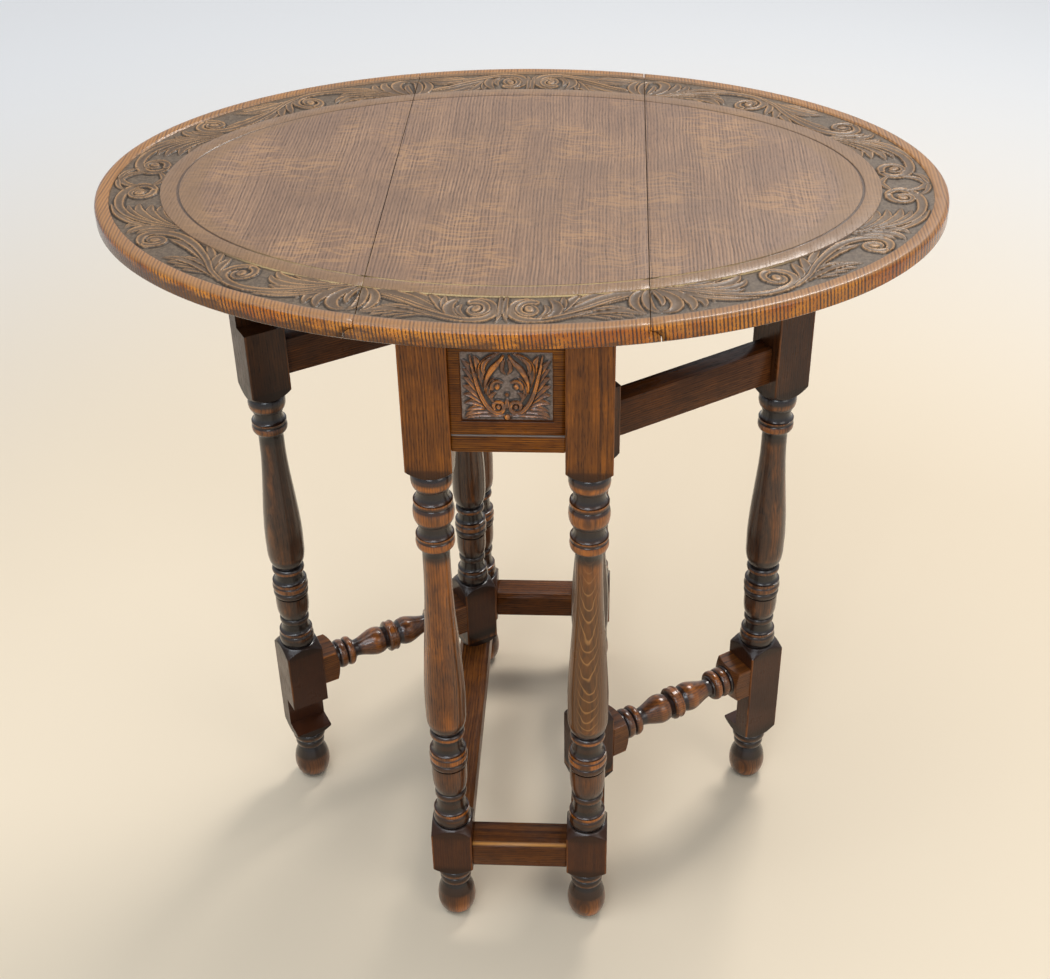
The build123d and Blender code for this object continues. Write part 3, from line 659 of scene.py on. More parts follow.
def end_scroll(band):
    """The stem over the last volute, the lobed leaf under it and the small leaves at the end of the oval."""
    band.leaf(4.0, (342, 45), (360, 41), (378, 41), (392, 46))
    band.leaf(4.4, (344, 42), (362, 35), (380, 33), (395, 37))
    band.leaf(4.6, (346, 39), (364, 29), (383, 24.5), (401, 26))
    band.leaf(3.8, (352, 33), (368, 22.5), (384, 17), (399, 17))
    band.leaf(3.0, (352, 24), (366, 12.5), (384, 5.5), (404, 2.5), hollow=0.6)
    band.scroll(smooth_line((336, 45), (350, 34), (364, 22.5), (378, 14), (394, 9.5), (410, 9.5), (424, 13.5),
                             (434.5, 22), (436.5, 31.5), (430, 39), (419, 39.5)),
                (2.2, 2.4, 2.8, 3.6, 4.4, 4.4, 3.6, 2.4), hollow=0.42)
    band.scroll(winding((421.5, 26.5), 80, 0.95, 12.2, 5.2, 0.95), (3.4, 3.1, 2.6, 2.0, 1.5))
    band.boss((421, 26.5), (4.1, 5.0), -35)
    band.leaf(3.0, (436, 24), (440, 14), (446, 8), (455, 5))
    band.leaf(2.4, (430, 12), (436, 7), (443, 4.5), (452, 3))
    band.leaf(2.6, (436, 36), (442, 40.5), (448, 43), (455, 44))


RIM, BAND = 12.5, 44.5
LEAF_GAP = 0.8


def quarter_marks(half_long, half_short, count):
    """Angles of points evenly spaced along the middle of the band, from a long side to an end."""
    inset = RIM + BAND / 2
    angles = np.linspace(-pi / 2, 0, 4001)
    x, y = (half_long - inset) * np.cos(angles), (half_short - inset) * np.sin(angles)
    run = np.concatenate([[0], np.cumsum(np.hypot(np.diff(x), np.diff(y)))])
    marks = np.linspace(0, run[-1], count)
    return marks, np.interp(marks, run, angles)


def closed_skin(name, tops, floor_z, ring=False):
    """A thin solid under a grid of points: a flat bottom at a height, and walls round the grid."""
    rows, columns = tops.shape[:2]
    below = tops[:, [0, -1]].copy()
    below[..., 2] = floor_z
    points = np.concatenate([tops.reshape(-1, 3), below.reshape(-1, 3)])
    base = rows * columns
    faces = []
    for i in range(rows if ring else rows - 1):
        j = (i + 1) % rows
        faces += [(i * columns + k, j * columns + k, j * columns + k + 1, i * columns + k + 1)
                  for k in range(columns - 1)]
        near, far = base + 2 * i, base + 2 * j
        faces.append((near, far, j * columns, i * columns))
        faces.append((i * columns + columns - 1, j * columns + columns - 1, far + 1, near + 1))
        faces.append((near, near + 1, far + 1, far))
    if not ring:
        faces.append((base, *range(columns), base + 1))
        last = rows - 1
        faces.append((base + 2 * last + 1, *range(last * columns + columns - 1, last * columns - 1, -1),
                      base + 2 * last))
    return mesh_object(name, points, faces)


def note_relief(skin, heights, reach):
    """Notes how far each point of a carving stands above the mean of the points round it."""
    mean = heights
    window = np.ones(2 * reach + 1) / (2 * reach + 1)
    for axis in (0, 1):
        mean = np.apply_along_axis(
            lambda row: np.convolve(np.pad(row, reach, mode="edge"), window, "valid"), axis, mean)
    full = 0.55
    stands = np.clip((heights - mean) / full, -1, 1).ravel()
    note(skin, "crest", np.concatenate([stands, np.zeros(len(skin.data.vertices) - len(stands))]))


def keep_between(obj, low, high):
    """Cuts a closed mesh at one or two heights along X, and closes the cuts."""
    with edited(obj) as mesh:
        for place, way in ((low, -1), (high, 1)):
            if place is None:
                continue
            cut = bmesh.ops.bisect_plane(mesh, geom=mesh.verts[:] + mesh.edges[:] + mesh.faces[:], dist=1e-7,
                                         plane_co=(place, 0, 0), plane_no=(way, 0, 0), clear_outer=True)
            edges = [item for item in cut["geom_cut"] if isinstance(item, bmesh.types.BMEdge)]
            bmesh.ops.holes_fill(mesh, edges=edges, sides=0)


def carved_band():
    """The running scrolls in the sunk band, in four mirrored quarters, parted at the rule joints."""
    half_long, half_short = CAD_BOX[1].x / MM, CAD_BOX[1].y / MM
    ground, depth = CAD_BOX[1].z / MM - BAND_SUNK, 2.1
    marks, angles = quarter_marks(half_long, half_short, 601)
    across = np.linspace(0, BAND, 61)
    band = Carving(marks, across, depth)
    for carve in (first_scroll, fan, second_scroll, third_scroll, end_scroll):
        carve(band)
    quarter, back = band.heights, band.heights[::-1]
    heights = np.concatenate([quarter, back[1:], quarter[1:], back[1:-1]])
    turns = np.concatenate([angles, -angles[::-1][1:], pi + angles[1:], pi - angles[::-1][1:-1]])
    ground_marks = Carving(np.arange(len(turns)), across, depth)
    heights = (heights + ground_marks.tooled(0.07, spacing=5, seed=4)
               + ground_marks.tooled(0.05, spacing=2, seed=5))
    heights = np.clip(heights + 0.14, 0.04, depth + 0.06)
    tops = np.stack([np.cos(turns)[:, None] * (half_long - RIM - across),
                     np.sin(turns)[:, None] * (half_short - RIM - across), ground + heights], -1) * MM
    seam = next(joint["pos_m"][0] for joint in frame["record"]["behaviour"]["joints"]
                if joint["name"] == "right_leaf_hinge")
    beyond = seam + LEAF_GAP * MM
    for body, low, high in (("frame", -seam, seam), ("left_leaf", None, -beyond),
                            ("right_leaf", beyond, None)):
        skin = closed_skin(f"carving_{body}", tops, (ground - BURIED) * MM, ring=True)
        note_relief(skin, heights, reach=3)
        keep_between(skin, low, high)
        sharpen(skin, angle=65)
        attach(skin, body)
        yield skin


def panel_carving(width, height, depth):
    """The spray in an apron's panel: two stems from a pair of volutes, leaves, crests and buds."""
    panel = Carving(np.arange(-width / 2, width / 2 + 0.01, 0.5), np.arange(0, height + 0.01, 0.5), depth)
    for way in (-1, 1):
        def at(*points):
            return [(way * u, v) for u, v in points]
        panel.leaf(2.0, *at((3, 4.5), (12, 5.5), (22, 5.5), (30, 3.5), (33.5, 0.8)))
        panel.leaf(2.2, *at((4, 7), (14, 9), (24, 9), (31, 6.5), (34.5, 2.5)))
        panel.leaf(2.1, *at((8, 9.5), (17, 12.5), (26, 12.5), (33.5, 9)))
        panel.leaf(2.6, *at((13, 11), (21, 16), (28, 18), (35, 16)))
        panel.leaf(2.8, *at((16, 14), (23, 21), (29, 24.5), (35.5, 24.5)))
        panel.leaf(2.8, *at((19, 18.5), (25, 26.5), (30, 31), (35.5, 33)))
        panel.leaf(2.6, *at((21.5, 25), (26.5, 34), (30.5, 38.5), (35, 41)))
        panel.leaf(2.3, *at((24, 33), (28, 42), (31.5, 46.5), (35, 49)))
        panel.leaf(2.1, *at((26, 41), (29, 49), (32, 53.5), (35.5, 57)))
        panel.leaf(2.4, *at((24, 40), (22.5, 48), (23.5, 56), (26, 61)), hollow=0.5)
        panel.leaf(2.8, *at((19, 32), (20.5, 44), (18.5, 53), (12.5, 59.5), (5, 63)), hollow=0.35)
        panel.leaf(1.7, *at((17, 42), (18.6, 49), (17, 55), (12.5, 59)), hollow=0.5)
        panel.scroll(smooth_line(*at((29, 61), (27.3, 50), (25, 39), (22, 27), (18, 17), (13.5, 10.5),
                                     (9, 7.6), (5, 8.2), (2.6, 12), (4, 16.6), (8, 17.8), (11, 15),
                                     (10.2, 11.9))),
                     (0.7, 1.0, 1.3, 1.5, 1.6, 1.7, 1.6, 1.3), hollow=0.6)
        panel.boss((way * 7.0, 13.2), (1.9, 2.2))
        panel.ridge(smooth_line(*at((17, 26), (17, 35), (14.5, 43), (10.5, 50), (5.5, 55.5), (2.4, 61))),
                    (0.9, 1.3, 1.9, 2.4, 2.2, 1.0), 0.6)
        panel.leaf(1.8, *at((11.5, 18), (14.4, 24), (14.8, 30), (12.5, 37), (9, 41)))
        panel.leaf(2.3, *at((3.6, 36), (7.6, 37), (11, 33.5), (12, 28)), hollow=0.5)
        panel.boss((way * 7.6, 32.2), (2.1, 2.7), way * 20)
        panel.leaf(1.6, *at((9, 26.5), (12, 24.5), (14, 20.5)))
        panel.leaf(1.5, *at((1.2, 44), (3.4, 48), (3.0, 53), (1.0, 58)), hollow=0.5)
    panel.leaf(1.6, (0, 12), (0, 16), (0, 21))
    panel.boss((0, 24.8), (1.5, 1.7))
    panel.boss((0, 3.4), (2.5, 2.7))
    heights = panel.heights + panel.tooled(0.09, spacing=4, seed=8) + panel.tooled(0.05, spacing=2, seed=9)
    return panel.x, panel.y, np.clip(heights + 0.15, 0.04, depth + 0.1)


def carved_panels():
    """The sprays in the sunk panels of both aprons, each facing out."""
    width, height, depth = 75.0, 65.0, PANEL_SUNK
    for end in ENDS:
        low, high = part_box(f"apron_{end}")
        out = -1 if end == "front" else 1
        u, v, rise = panel_carving(width, height, depth - 0.2)
        face = (low.y if end == "front" else high.y) / MM
        bottom = low.z / MM + PANEL_UP
        back = face - out * depth
        tops = np.stack([-out * u, back + out * rise, bottom + v], -1) * MM
        skin = closed_skin(f"spray_{end}", tops[..., [0, 2, 1]], (back - out * BURIED) * MM)
        note_relief(skin, rise, reach=4)
        for vertex in skin.data.vertices:
            vertex.co = vertex.co.xzy
        sharpen(weld(skin), angle=65)
        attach(skin, "frame")
        yield skin


def slotted_screw():
    """A screw's head about its own Z axis, a little proud of the plate under it."""
    head = Profile((-0.6, 0.0), (-0.58, 3.1), (0.0, 3.1), (0.26, 2.6), (0.40, 1.5), (0.44, 0.0))
    screw = weld(lathe("screw", head, 12.0))
    cut_away(screw, box_solid("slot", (-0.45 * MM, -5 * MM, 0.02 * MM), (0.45 * MM, 5 * MM, 2 * MM)))
    return screw


def hinge_screws():
    """The screws that hold the flaps of the four hinges, one mesh for each body."""
    random = np.random.default_rng(3)
    inset, apart, near, far = 9 * MM, 14 * MM, 8 * MM, 24 * MM      # from a flap's edge, or from its middle
    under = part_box("centre_board")[0].z
    spots = {"frame": [], "left_leaf": [], "right_leaf": []}
    for side, out in (("left", -1), ("right", 1)):
        for end in ENDS:
            low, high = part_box(f"hinge_{side}_{end}_fixed_flap")
            middle, edge = (low.y + high.y) / 2, (high.x if out < 0 else low.x)
            spots["frame"] += [(edge + out * inset, middle + way * apart, under) for way in (-1, 1)]
            low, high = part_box(f"hinge_{side}_{end}_leaf_flap")
            edge = low.x if out < 0 else high.x
            spots[f"{side}_leaf"] += [(edge - out * far, middle + way * apart, under) for way in (-1, 1)]
            spots[f"{side}_leaf"].append((edge - out * near, middle, under))
    master = slotted_screw()
    for body, places in spots.items():
        heads = []
        for place in places:
            head = link(bpy.data.objects.new(f"screws_{body}", master.data.copy()))
            turn = Matrix.Rotation(random.uniform(0, pi), 4, "Z") @ Matrix.Rotation(pi, 4, "X")
            head.data.transform(Matrix.Translation(place) @ turn)
            heads.append(head)
        screws = join(heads[0], heads[1:])
        sharpen(screws)
        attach(screws, body)
        yield screws
    bpy.data.objects.remove(master)


LEGS = list(frame_legs())
GATE_LEGS = list(gate_legs())
GATE_STILES = list(gate_stiles())
GATE_STRETCHERS = list(gate_stretchers())
BAND_SKINS = list(carved_band())
PANELS = list(carved_panels())
SCREWS = list(hinge_screws())


# ---------------------------------------------------------------- finishes

class Signal:
    """What comes out of a node, so that a material's sums read as sums."""

    def __init__(self, graph, socket):
        self.graph, self.socket = graph, socket

    def __add__(self, other):
        return self.graph.math("ADD", self, other)

    def __sub__(self, other):
        return self.graph.math("SUBTRACT", self, other)

    def __mul__(self, other):
        return self.graph.math("MULTIPLY", self, other)

    def __truediv__(self, other):
        return self.graph.math("DIVIDE", self, other)

    def __abs__(self):
        return self.graph.math("ABSOLUTE", self)

    def ramp(self, low, high, start=0.0, end=1.0):
        """A smooth rise from start to end while the value goes from low to high."""
        return self.graph.node("MapRange", (self, low, high, start, end), interpolation_type="SMOOTHSTEP")


class Graph:
    """A material's nodes, written as calls that give back signals."""

    def __init__(self, name, kind="materials", shader="Principled BSDF"):
        self.material = getattr(bpy.data, kind).new(name)
        self.material.use_nodes = True
        self.tree = self.material.node_tree
        self.shader = self.tree.nodes[shader]

    def put(self, socket, value):
        if isinstance(value, Signal):
            self.tree.links.new(value.socket, socket)
        elif socket.type == "RGBA":
            socket.default_value = (*value, 1.0)
        else:
            socket.default_value = value

    def node(self, kind, inputs=(), output=0, **settings):
        """One output of a new node; its inputs are given in order, or by name or number."""
        node = self.tree.nodes.new(f"ShaderNode{kind}")
        for name, value in settings.items():
            setattr(node, name, value)
        for key, value in inputs.items() if isinstance(inputs, dict) else enumerate(inputs):
            self.put(node.inputs[key], value)
        return Signal(self, node.outputs[output])

    def set(self, **values):
        """Values on the shader itself, by the socket's name with its spaces as underscores."""
        for name, value in values.items():
            self.put(self.shader.inputs[name.replace("_", " ")], value)

    def math(self, operation, *values):
        return self.node("Math", values, operation=operation)

    def length(self, a, b):
        return self.math("SQRT", a * a + b * b)

    def mix(self, share, a, b):
        return self.node("Mix", {0: share, 6: a, 7: b}, 2, data_type="RGBA")

    def seen(self):
        """1 for what is looked at, straight or in a reflection, and 0 for what lights a surface."""
        camera, glossy, through = (self.node("LightPath", output=f"Is {ray} Ray")
                                   for ray in ("Camera", "Glossy", "Transmission"))
        return self.math("MAXIMUM", camera, self.math("MAXIMUM", glossy, through))

    def noise(self, place, scales=(1.0, 1.0, 1.0), detail=2.0, roughness=0.5):
        """Soft noise about one unit wide, at a place of three values times three scales."""
        place = [value * scale if isinstance(value, Signal) else value for value, scale in zip(place, scales)]
        return self.node("TexNoise", {"Vector": self.node("CombineXYZ", place), "Scale": 1.0,
                                      "Detail": detail, "Roughness": roughness}, "Fac")

    def random(self, value):
        return self.node("TexWhiteNoise", {"W": value}, "Value", noise_dimensions="1D")

    def place(self, centre=(0.0, 0.0), turn=0.0):
        """The point being shaded in millimetres, from a centre on the floor and turned about Z."""
        point = self.node("TexCoord", output="Object")
        point = self.node("VectorMath", (point, (centre[0] * MM, centre[1] * MM, 0.0)), operation="SUBTRACT")
        point = self.node("VectorRotate", {"Vector": point, "Angle": -turn}, rotation_type="Z_AXIS")
        point = self.node("VectorMath", {0: point, "Scale": 1000.0}, operation="SCALE")
        parts = self.node("SeparateXYZ", (point,)).socket.node.outputs
        return tuple(Signal(self, part) for part in parts)

    def attribute(self, name):
        return self.node("Attribute", output="Fac", attribute_name=name)

    def bump(self, height, distance, strength):
        self.set(Normal=self.node("Bump", {"Distance": distance * MM, "Strength": strength,
                                           "Height": height}))


class Oak:
    """The structure of a piece of oak: growth rings about a pith, pores, fibre and slow changes of tone."""

    def __init__(self, graph, along, side, face, pith, spacing):
        g = self.graph = graph
        bend = g.noise((along, side, face), (0.007, 0.014, 0.014))
        ripple = g.noise((along, side, face), (0.03, 0.05, 0.05))
        drift = (bend - 0.5) * 9.0 + (ripple - 0.5) * 1.6
        year = g.length(side + drift + pith[0], face + pith[1]) / spacing
        ring = g.math("FRACT", year)
        strength = g.random(g.math("FLOOR", year)).ramp(0.0, 1.0, 0.55, 1.0)
        self.early = ring.ramp(0.0, 0.1) * ring.ramp(0.22, 0.62, 1.0, 0.0) * strength
        pore = g.noise((along, side, face), (0.07, 0.85, 0.85), 2.0, 0.6)
        self.pores = pore.ramp(0.52, 0.64) * (self.early * 0.5 + 0.5)
        self.fibre = g.noise((along, side, face), (0.02, 0.6, 0.6), 3.0, 0.65)
        self.tone = g.noise((along, side, face), (0.009, 0.03, 0.03), 3.0, 0.55)

    def open_grain(self):
        return self.graph.math("MAXIMUM", self.early, self.pores)

    def colour(self, dark, mid, light, lines, pores=0.8):
        mix = self.graph.mix
        body = mix(self.tone.ramp(0.32, 0.68), mid, light)
        body = mix(self.fibre.ramp(0.4, 0.62, 0.6, 0.0), body, mix(0.5, mid, dark))
        body = mix(self.early * lines, body, dark)
        return mix(self.pores * pores, body, [0.45 * value for value in dark])

    def flecks(self, along, side):
        """The silky ribbons that cross the grain of a quarter-sawn board."""
        g = self.graph
        sway = g.noise((along, side, 5.0), (0.006, 0.017, 1.0))
        wander = g.noise((along * 0.14 + sway * 5.0, side * 0.024, 7.0))
        ribbon = abs(wander - 0.5).ramp(0.008, 0.075, 1.0, 0.0)
        return ribbon * g.noise((along, side, 3.0), (0.011, 0.013, 1.0), 1.0).ramp(0.40, 0.62)


GRAIN = {"X": (0, 1, 2), "Y": (1, 0, 2), "Z": (2, 0, 1)}       # along the grain, across it and the face


def oak_piece(name, grain, colours, centre, turn, pith, spacing, lines=0.6, turned=False, polish=0.3,
              detail=None):
    """Stained and waxed oak. Its rings are spacing mm wide about a pith, which lies that far across the
    grain and behind the face. What is turned is rubbed on its crests and painted with shade in its hollows.
    detail adds what only one kind of piece shows to the colour."""
    g = Graph(name)
    place = g.place(centre, turn)
    along, side, face = (place[i] for i in GRAIN[grain])
    wood = Oak(g, along, side, face, pith, spacing)
    dark, mid, light, crest, hollow = colours
    colour, coat = wood.colour(dark, mid, light, lines), 0.12
    if turned:
        rubbed_and_shaded, round_here = g.attribute("wear"), g.attribute("turned")
        patch = g.noise((along, side, face), (0.012, 0.06, 0.06), 4.0, 0.65)
        amber = g.mix(wood.open_grain() * 0.8, crest, mid)
        colour = g.mix(patch.ramp(0.5, 0.66, 0.0, 0.5) * round_here, colour, amber)
        if grain == "Z":        # painted shade darkens a post near the floor; close rings darken it with stain and painted shade
            colour = g.mix(place[2].ramp(260.0, 150.0, 0.0, 0.82), colour, (0.052, 0.016, 0.007))
            colour = g.mix(g.attribute("busy").ramp(0.05, 0.26, 0.0, 0.93), colour, dark)
        rubbed = rubbed_and_shaded.ramp(0.3, 0.75) * patch.ramp(0.36, 0.58, 0.25, 1.0)
        colour = g.mix(rubbed * 0.9, colour, amber)
        # painted shade in the hollows of a turning
        colour = g.mix(rubbed_and_shaded.ramp(-0.02, -0.4, 0.0, 0.95), colour, hollow)
        coat = round_here.ramp(0.0, 1.0, 0.35, 0.9)
    stain = g.noise(place, (0.022, 0.022, 0.022), 4.0, 0.6)
    colour = g.mix(stain.ramp(0.35, 0.62, 0.35, 0.0), colour, hollow)
    if detail:
        colour = detail(g, place, wood, stain, colour)
    roughness = wood.pores * 0.25 + stain.ramp(0.3, 0.7, polish + 0.12, polish - 0.04)
    g.set(Base_Color=colour, Roughness=roughness, Coat_Weight=coat, Coat_Roughness=0.2,
          Specular_IOR_Level=0.1)
    g.bump(wood.pores * -1.0 + wood.early * -0.35, 0.22, 0.5)
    return g.material


def nested_curves(g, place, wood, stain, colour):
    """On one leg's baluster the rings come out on the face, as pale curves inside each other."""
    x, y, z = place
    near = z.ramp(258, 278) * z.ramp(410, 480, 1.0, 0.0)
    plain = g.mix(wood.early * 0.35, (0.112, 0.043, 0.008), LEG_OAK[0])
    colour = g.mix(near * 0.72, colour, plain)
    sway = g.noise((x, y, z), (0.05, 0.05, 0.035))
    layer = g.math("FRACT", (y + z * -0.19 + sway * 4.0) / 2.1)
    curve = layer.ramp(0.0, 0.1) * layer.ramp(0.08, 0.3, 1.0, 0.0)
    middle = abs(x).ramp(3.5, 13.0, 1.0, 0.0)
    broken = wood.fibre.ramp(0.25, 0.5, 0.35, 0.75)
    return g.mix(curve * near * (middle * broken), colour, (0.42, 0.19, 0.050))


def rubbed_and_highlit_arris(out, top, g, place, wood, stain, colour):
    """A stretcher's upper edge, rubbed bare by feet and lit by a painted highlight: out is its way from the
    middle of the table.
    """
    near = abs(place[1]).ramp(out - 5.0, out - 1.5) * place[2].ramp(top - 3.5, top - 1.2)
    broken = (wood.fibre + stain * 0.6).ramp(0.45, 0.85, 0.2, 0.95)
    # the golden line is wear with a painted highlight
    return g.mix(near * broken, colour, (0.62, 0.28, 0.065))


def pale_scratch_line(middle, out, g, place, wood, stain, colour):
    """The line scratched into an apron, coloured pale grey: middle is its height, out the apron's face."""
    low, high = middle - 1.2, middle + 1.2
    inside = place[2].ramp(low - 0.3, low) * place[2].ramp(high, high + 0.3, 1.0, 0.0)
    sunk = abs(place[1]).ramp(out - 0.9, out - 0.5, 1.0, 0.0)
    return g.mix(inside * sunk * 0.85, colour, (0.20, 0.175, 0.155))


def top_finish(half_long, half_short, surface):
    """The top: silky field, a groove with painted shade at the sides and back and painted light at the front,
    golden rim, orange edge striped by end grain and darkened low and to the left by painted shade, bare
    underside.
    """
    g = Graph("top_finish")
    x, y, z = g.place()
    wood = Oak(g, y, x, z, (0.0, 1600.0), 50.0)
    wander = g.noise((x, y, 2.0), (0.006, 0.005, 1.0), 3.0)
    count = (x + ((wander - 0.5) * 14.0 + z * 0.1)) / 3.0
    line = g.math("FRACT", count)
    strength = g.random(g.math("FLOOR", count)).ramp(0.0, 1.0, 0.5, 1.0)
    wood.early = line.ramp(0.0, 0.3) * line.ramp(0.4, 0.8, 1.0, 0.0) * strength
    pore = g.noise((x, y, z), (0.8, 0.085, 0.8), 2.0, 0.6)
    wood.pores = pore.ramp(0.5, 0.64) * (wood.early * 0.6 + 0.3)
    colour = wood.colour((0.086, 0.044, 0.025), (0.226, 0.127, 0.073), (0.288, 0.166, 0.094), 0.85, 0.75)
    colour = g.mix(wood.flecks(y, x) * 0.42, colour, (0.375, 0.204, 0.086))
    out = g.length(x / half_long, y / half_short)

    colour = g.mix(out.ramp(0.735, 0.765) * 0.55, colour, (0.190, 0.104, 0.042))
    # painted shade in the groove along the sides and back, painted light in it at the front
    groove = (z.ramp(surface - 0.25, surface - 0.8) * out.ramp(0.90, 0.86)
              * z.ramp(surface - 4.0, surface - 3.0))
    groove_light_and_shade = g.mix(y.ramp(-120.0, -190.0), (0.045, 0.026, 0.017), (0.43, 0.31, 0.14))
    colour = g.mix(groove * 0.85, colour, groove_light_and_shade)
    golden = g.mix(wood.early * 0.85, (0.325, 0.145, 0.040), (0.085, 0.033, 0.011))
    colour = g.mix(out.ramp(0.955, 0.962) * 0.9, colour, golden)

    edge = z.ramp(surface - 0.15, surface - 2.6) * out.ramp(0.975, 0.985)
    stripe = g.mix(wood.tone.ramp(0.35, 0.65), (0.42, 0.106, 0.006), (0.66, 0.235, 0.022))
    dash = g.noise((x, y, z), (0.9, 0.3, 0.45), 2.0, 0.6)
    dashes = (wood.early + dash * 1.4).ramp(0.95, 1.3) * 0.9
    colour = g.mix(edge, colour, g.mix(dashes, stripe, (0.045, 0.014, 0.006)))
    # painted shade: the edge darkens in mottled patches towards its lower side and to the left
    shade_mottle = g.noise((x, y, z), (0.05, 0.05, 0.16), 4.0, 0.65)
    depth = (z - surface) * -0.045 + (shade_mottle * 1.5 + x * -0.0011)
    colour = g.mix(depth.ramp(1.06, 1.5) * edge * 0.8, colour, (0.055, 0.020, 0.009))

    stain = g.noise((x, y, z), (0.012, 0.012, 0.03), 4.0, 0.6)
    colour = g.mix(stain.ramp(0.35, 0.65, 0.28, 0.0), colour, (0.105, 0.062, 0.04))
    roughness = wood.pores * 0.22 + stain.ramp(0.3, 0.7, 0.40, 0.31)
    roughness = g.mix(edge, roughness, dashes * 0.1 + 0.2)
    under = z.ramp(surface - 15.4, surface - 15.8)
    bare = g.mix(wood.open_grain(), (0.125, 0.066, 0.034), (0.055, 0.028, 0.015))
    colour = g.mix(under, colour, g.mix(stain.ramp(0.35, 0.62, 0.6, 0.0), bare, (0.045, 0.023, 0.013)))
    g.set(Base_Color=colour, Roughness=roughness + under * 0.28, Coat_Weight=0.2, Coat_Roughness=0.18,
          Specular_IOR_Level=0.28)
    g.bump(wood.pores * -1.0 + wood.early * -0.5, 0.2, 0.5)
    return g.material


def carved_colour(g, height, speck, patch, ground, flank, crown, hollow, rise, full, upper,
                  bright=(0.35, 0.65)):
    """Wax on the sunk ground, stained flanks, crests that hands have rubbed, and painted shade in the
    hollows.
    """
    crest = g.attribute("crest")
    low, middle = g.mix(speck.ramp(0.35, 0.65), *ground), g.mix(patch.ramp(0.35, 0.65), *flank)
    colour = g.mix(height.ramp(*rise), low, middle)
    colour = g.mix(crest.ramp(0.1, full) * height.ramp(*upper), colour, g.mix(patch.ramp(*bright), *crown))
    # painted shade in the carving's hollows
    return g.mix(crest.ramp(-0.12, -0.7, 0.0, 0.9), colour, hollow)


def band_finish(surface):
    """The carved band: dull wax in the ground and golden highs."""
    g = Graph("band_finish")
    x, y, z = g.place()
    height = z - (surface - BAND_SUNK)
    grain = g.noise((x, y, z), (1.0, 0.07, 1.0), 3.0, 0.65)
    patch = g.noise((x, y, 1.0), (0.02, 0.02, 1.0), 3.0, 0.55)
    speck = g.noise((x, y, z), (0.35, 0.35, 0.35), 3.0, 0.6)
    colour = carved_colour(
        g, height, speck, patch, ground=((0.075, 0.053, 0.037), (0.123, 0.089, 0.060)),
        flank=((0.084, 0.052, 0.031), (0.136, 0.086, 0.050)),
        crown=((0.211, 0.114, 0.050), (0.317, 0.176, 0.079)),
        hollow=(0.023, 0.015, 0.009), rise=(0.3, 0.9), full=0.75, upper=(0.9, 1.6))
    colour = g.mix(grain.ramp(0.5, 0.68, 0.0, 0.45), colour, (0.053, 0.031, 0.018))
    g.set(Base_Color=colour, Roughness=height.ramp(0.3, 2.0, 0.52, 0.4), Coat_Weight=0.08,
          Coat_Roughness=0.16, Specular_IOR_Level=0.2)
    g.bump(grain * -0.6 + speck * 0.8, 0.25, 0.5)
    return g.material


def panel_finish(face):
    """The aprons' carving: grey-brown ground with orange crests."""
    g = Graph("panel_finish")
    x, y, z = g.place()
    height = abs(y) - (face - PANEL_SUNK)
    patch = g.noise((x, 0.0, z), (0.07, 1.0, 0.07), 3.0, 0.55)
    speck = g.noise((x, y, z), (0.5, 0.5, 0.5), 3.0, 0.6)
    colour = carved_colour(
        g, height, speck, patch, ground=((0.125, 0.084, 0.062), (0.225, 0.162, 0.128)),
        flank=((0.130, 0.052, 0.022), (0.225, 0.090, 0.032)),
        crown=((0.19, 0.072, 0.024), (0.62, 0.205, 0.024)),
        hollow=(0.016, 0.010, 0.007), rise=(0.4, 1.2), full=0.8, upper=(1.4, 2.2), bright=(0.45, 0.58))
    g.set(Base_Color=colour, Roughness=height.ramp(0.3, 2.4, 0.40, 0.25), Coat_Weight=0.3,
          Coat_Roughness=0.12, Specular_IOR_Level=0.4)
    g.bump(speck, 0.25, 0.5)
    return g.material


def dark_steel():
    """The hinges' old iron, brushed and a little rusty."""
    g = Graph("dark_steel")
    x, y, z = g.place()
    rust = g.noise((x, y, z), (0.3, 0.3, 0.3), 4.0, 0.65)
    brush = g.noise((x, y, z), (0.1, 3.0, 3.0))
    colour = g.mix(rust.ramp(0.45, 0.65, 0.0, 0.8), (0.13, 0.12, 0.115), (0.075, 0.036, 0.018))
    g.set(Base_Color=colour, Metallic=rust.ramp(0.45, 0.65, 0.9, 0.2),
          Roughness=rust.ramp(0.3, 0.7, 0.35, 0.75))
    g.bump(rust + brush * 0.3, 0.15, 0.4)
    return g.material


# ---------------------------------------------------------------- finishes on the pieces

# each oak: late wood in shadow, middle, light, rubbed crests, and the painted shade of hollows, which random
# stains also use
LEG_OAK = ((0.030, 0.009, 0.002), (0.180, 0.048, 0.004), (0.320, 0.096, 0.008), (0.46, 0.130, 0.009),
           (0.012, 0.006, 0.004))
APRON_OAK = ((0.030, 0.008, 0.002), (0.180, 0.048, 0.003), (0.380, 0.124, 0.010), (0.34, 0.13, 0.035),
             (0.026, 0.011, 0.006))
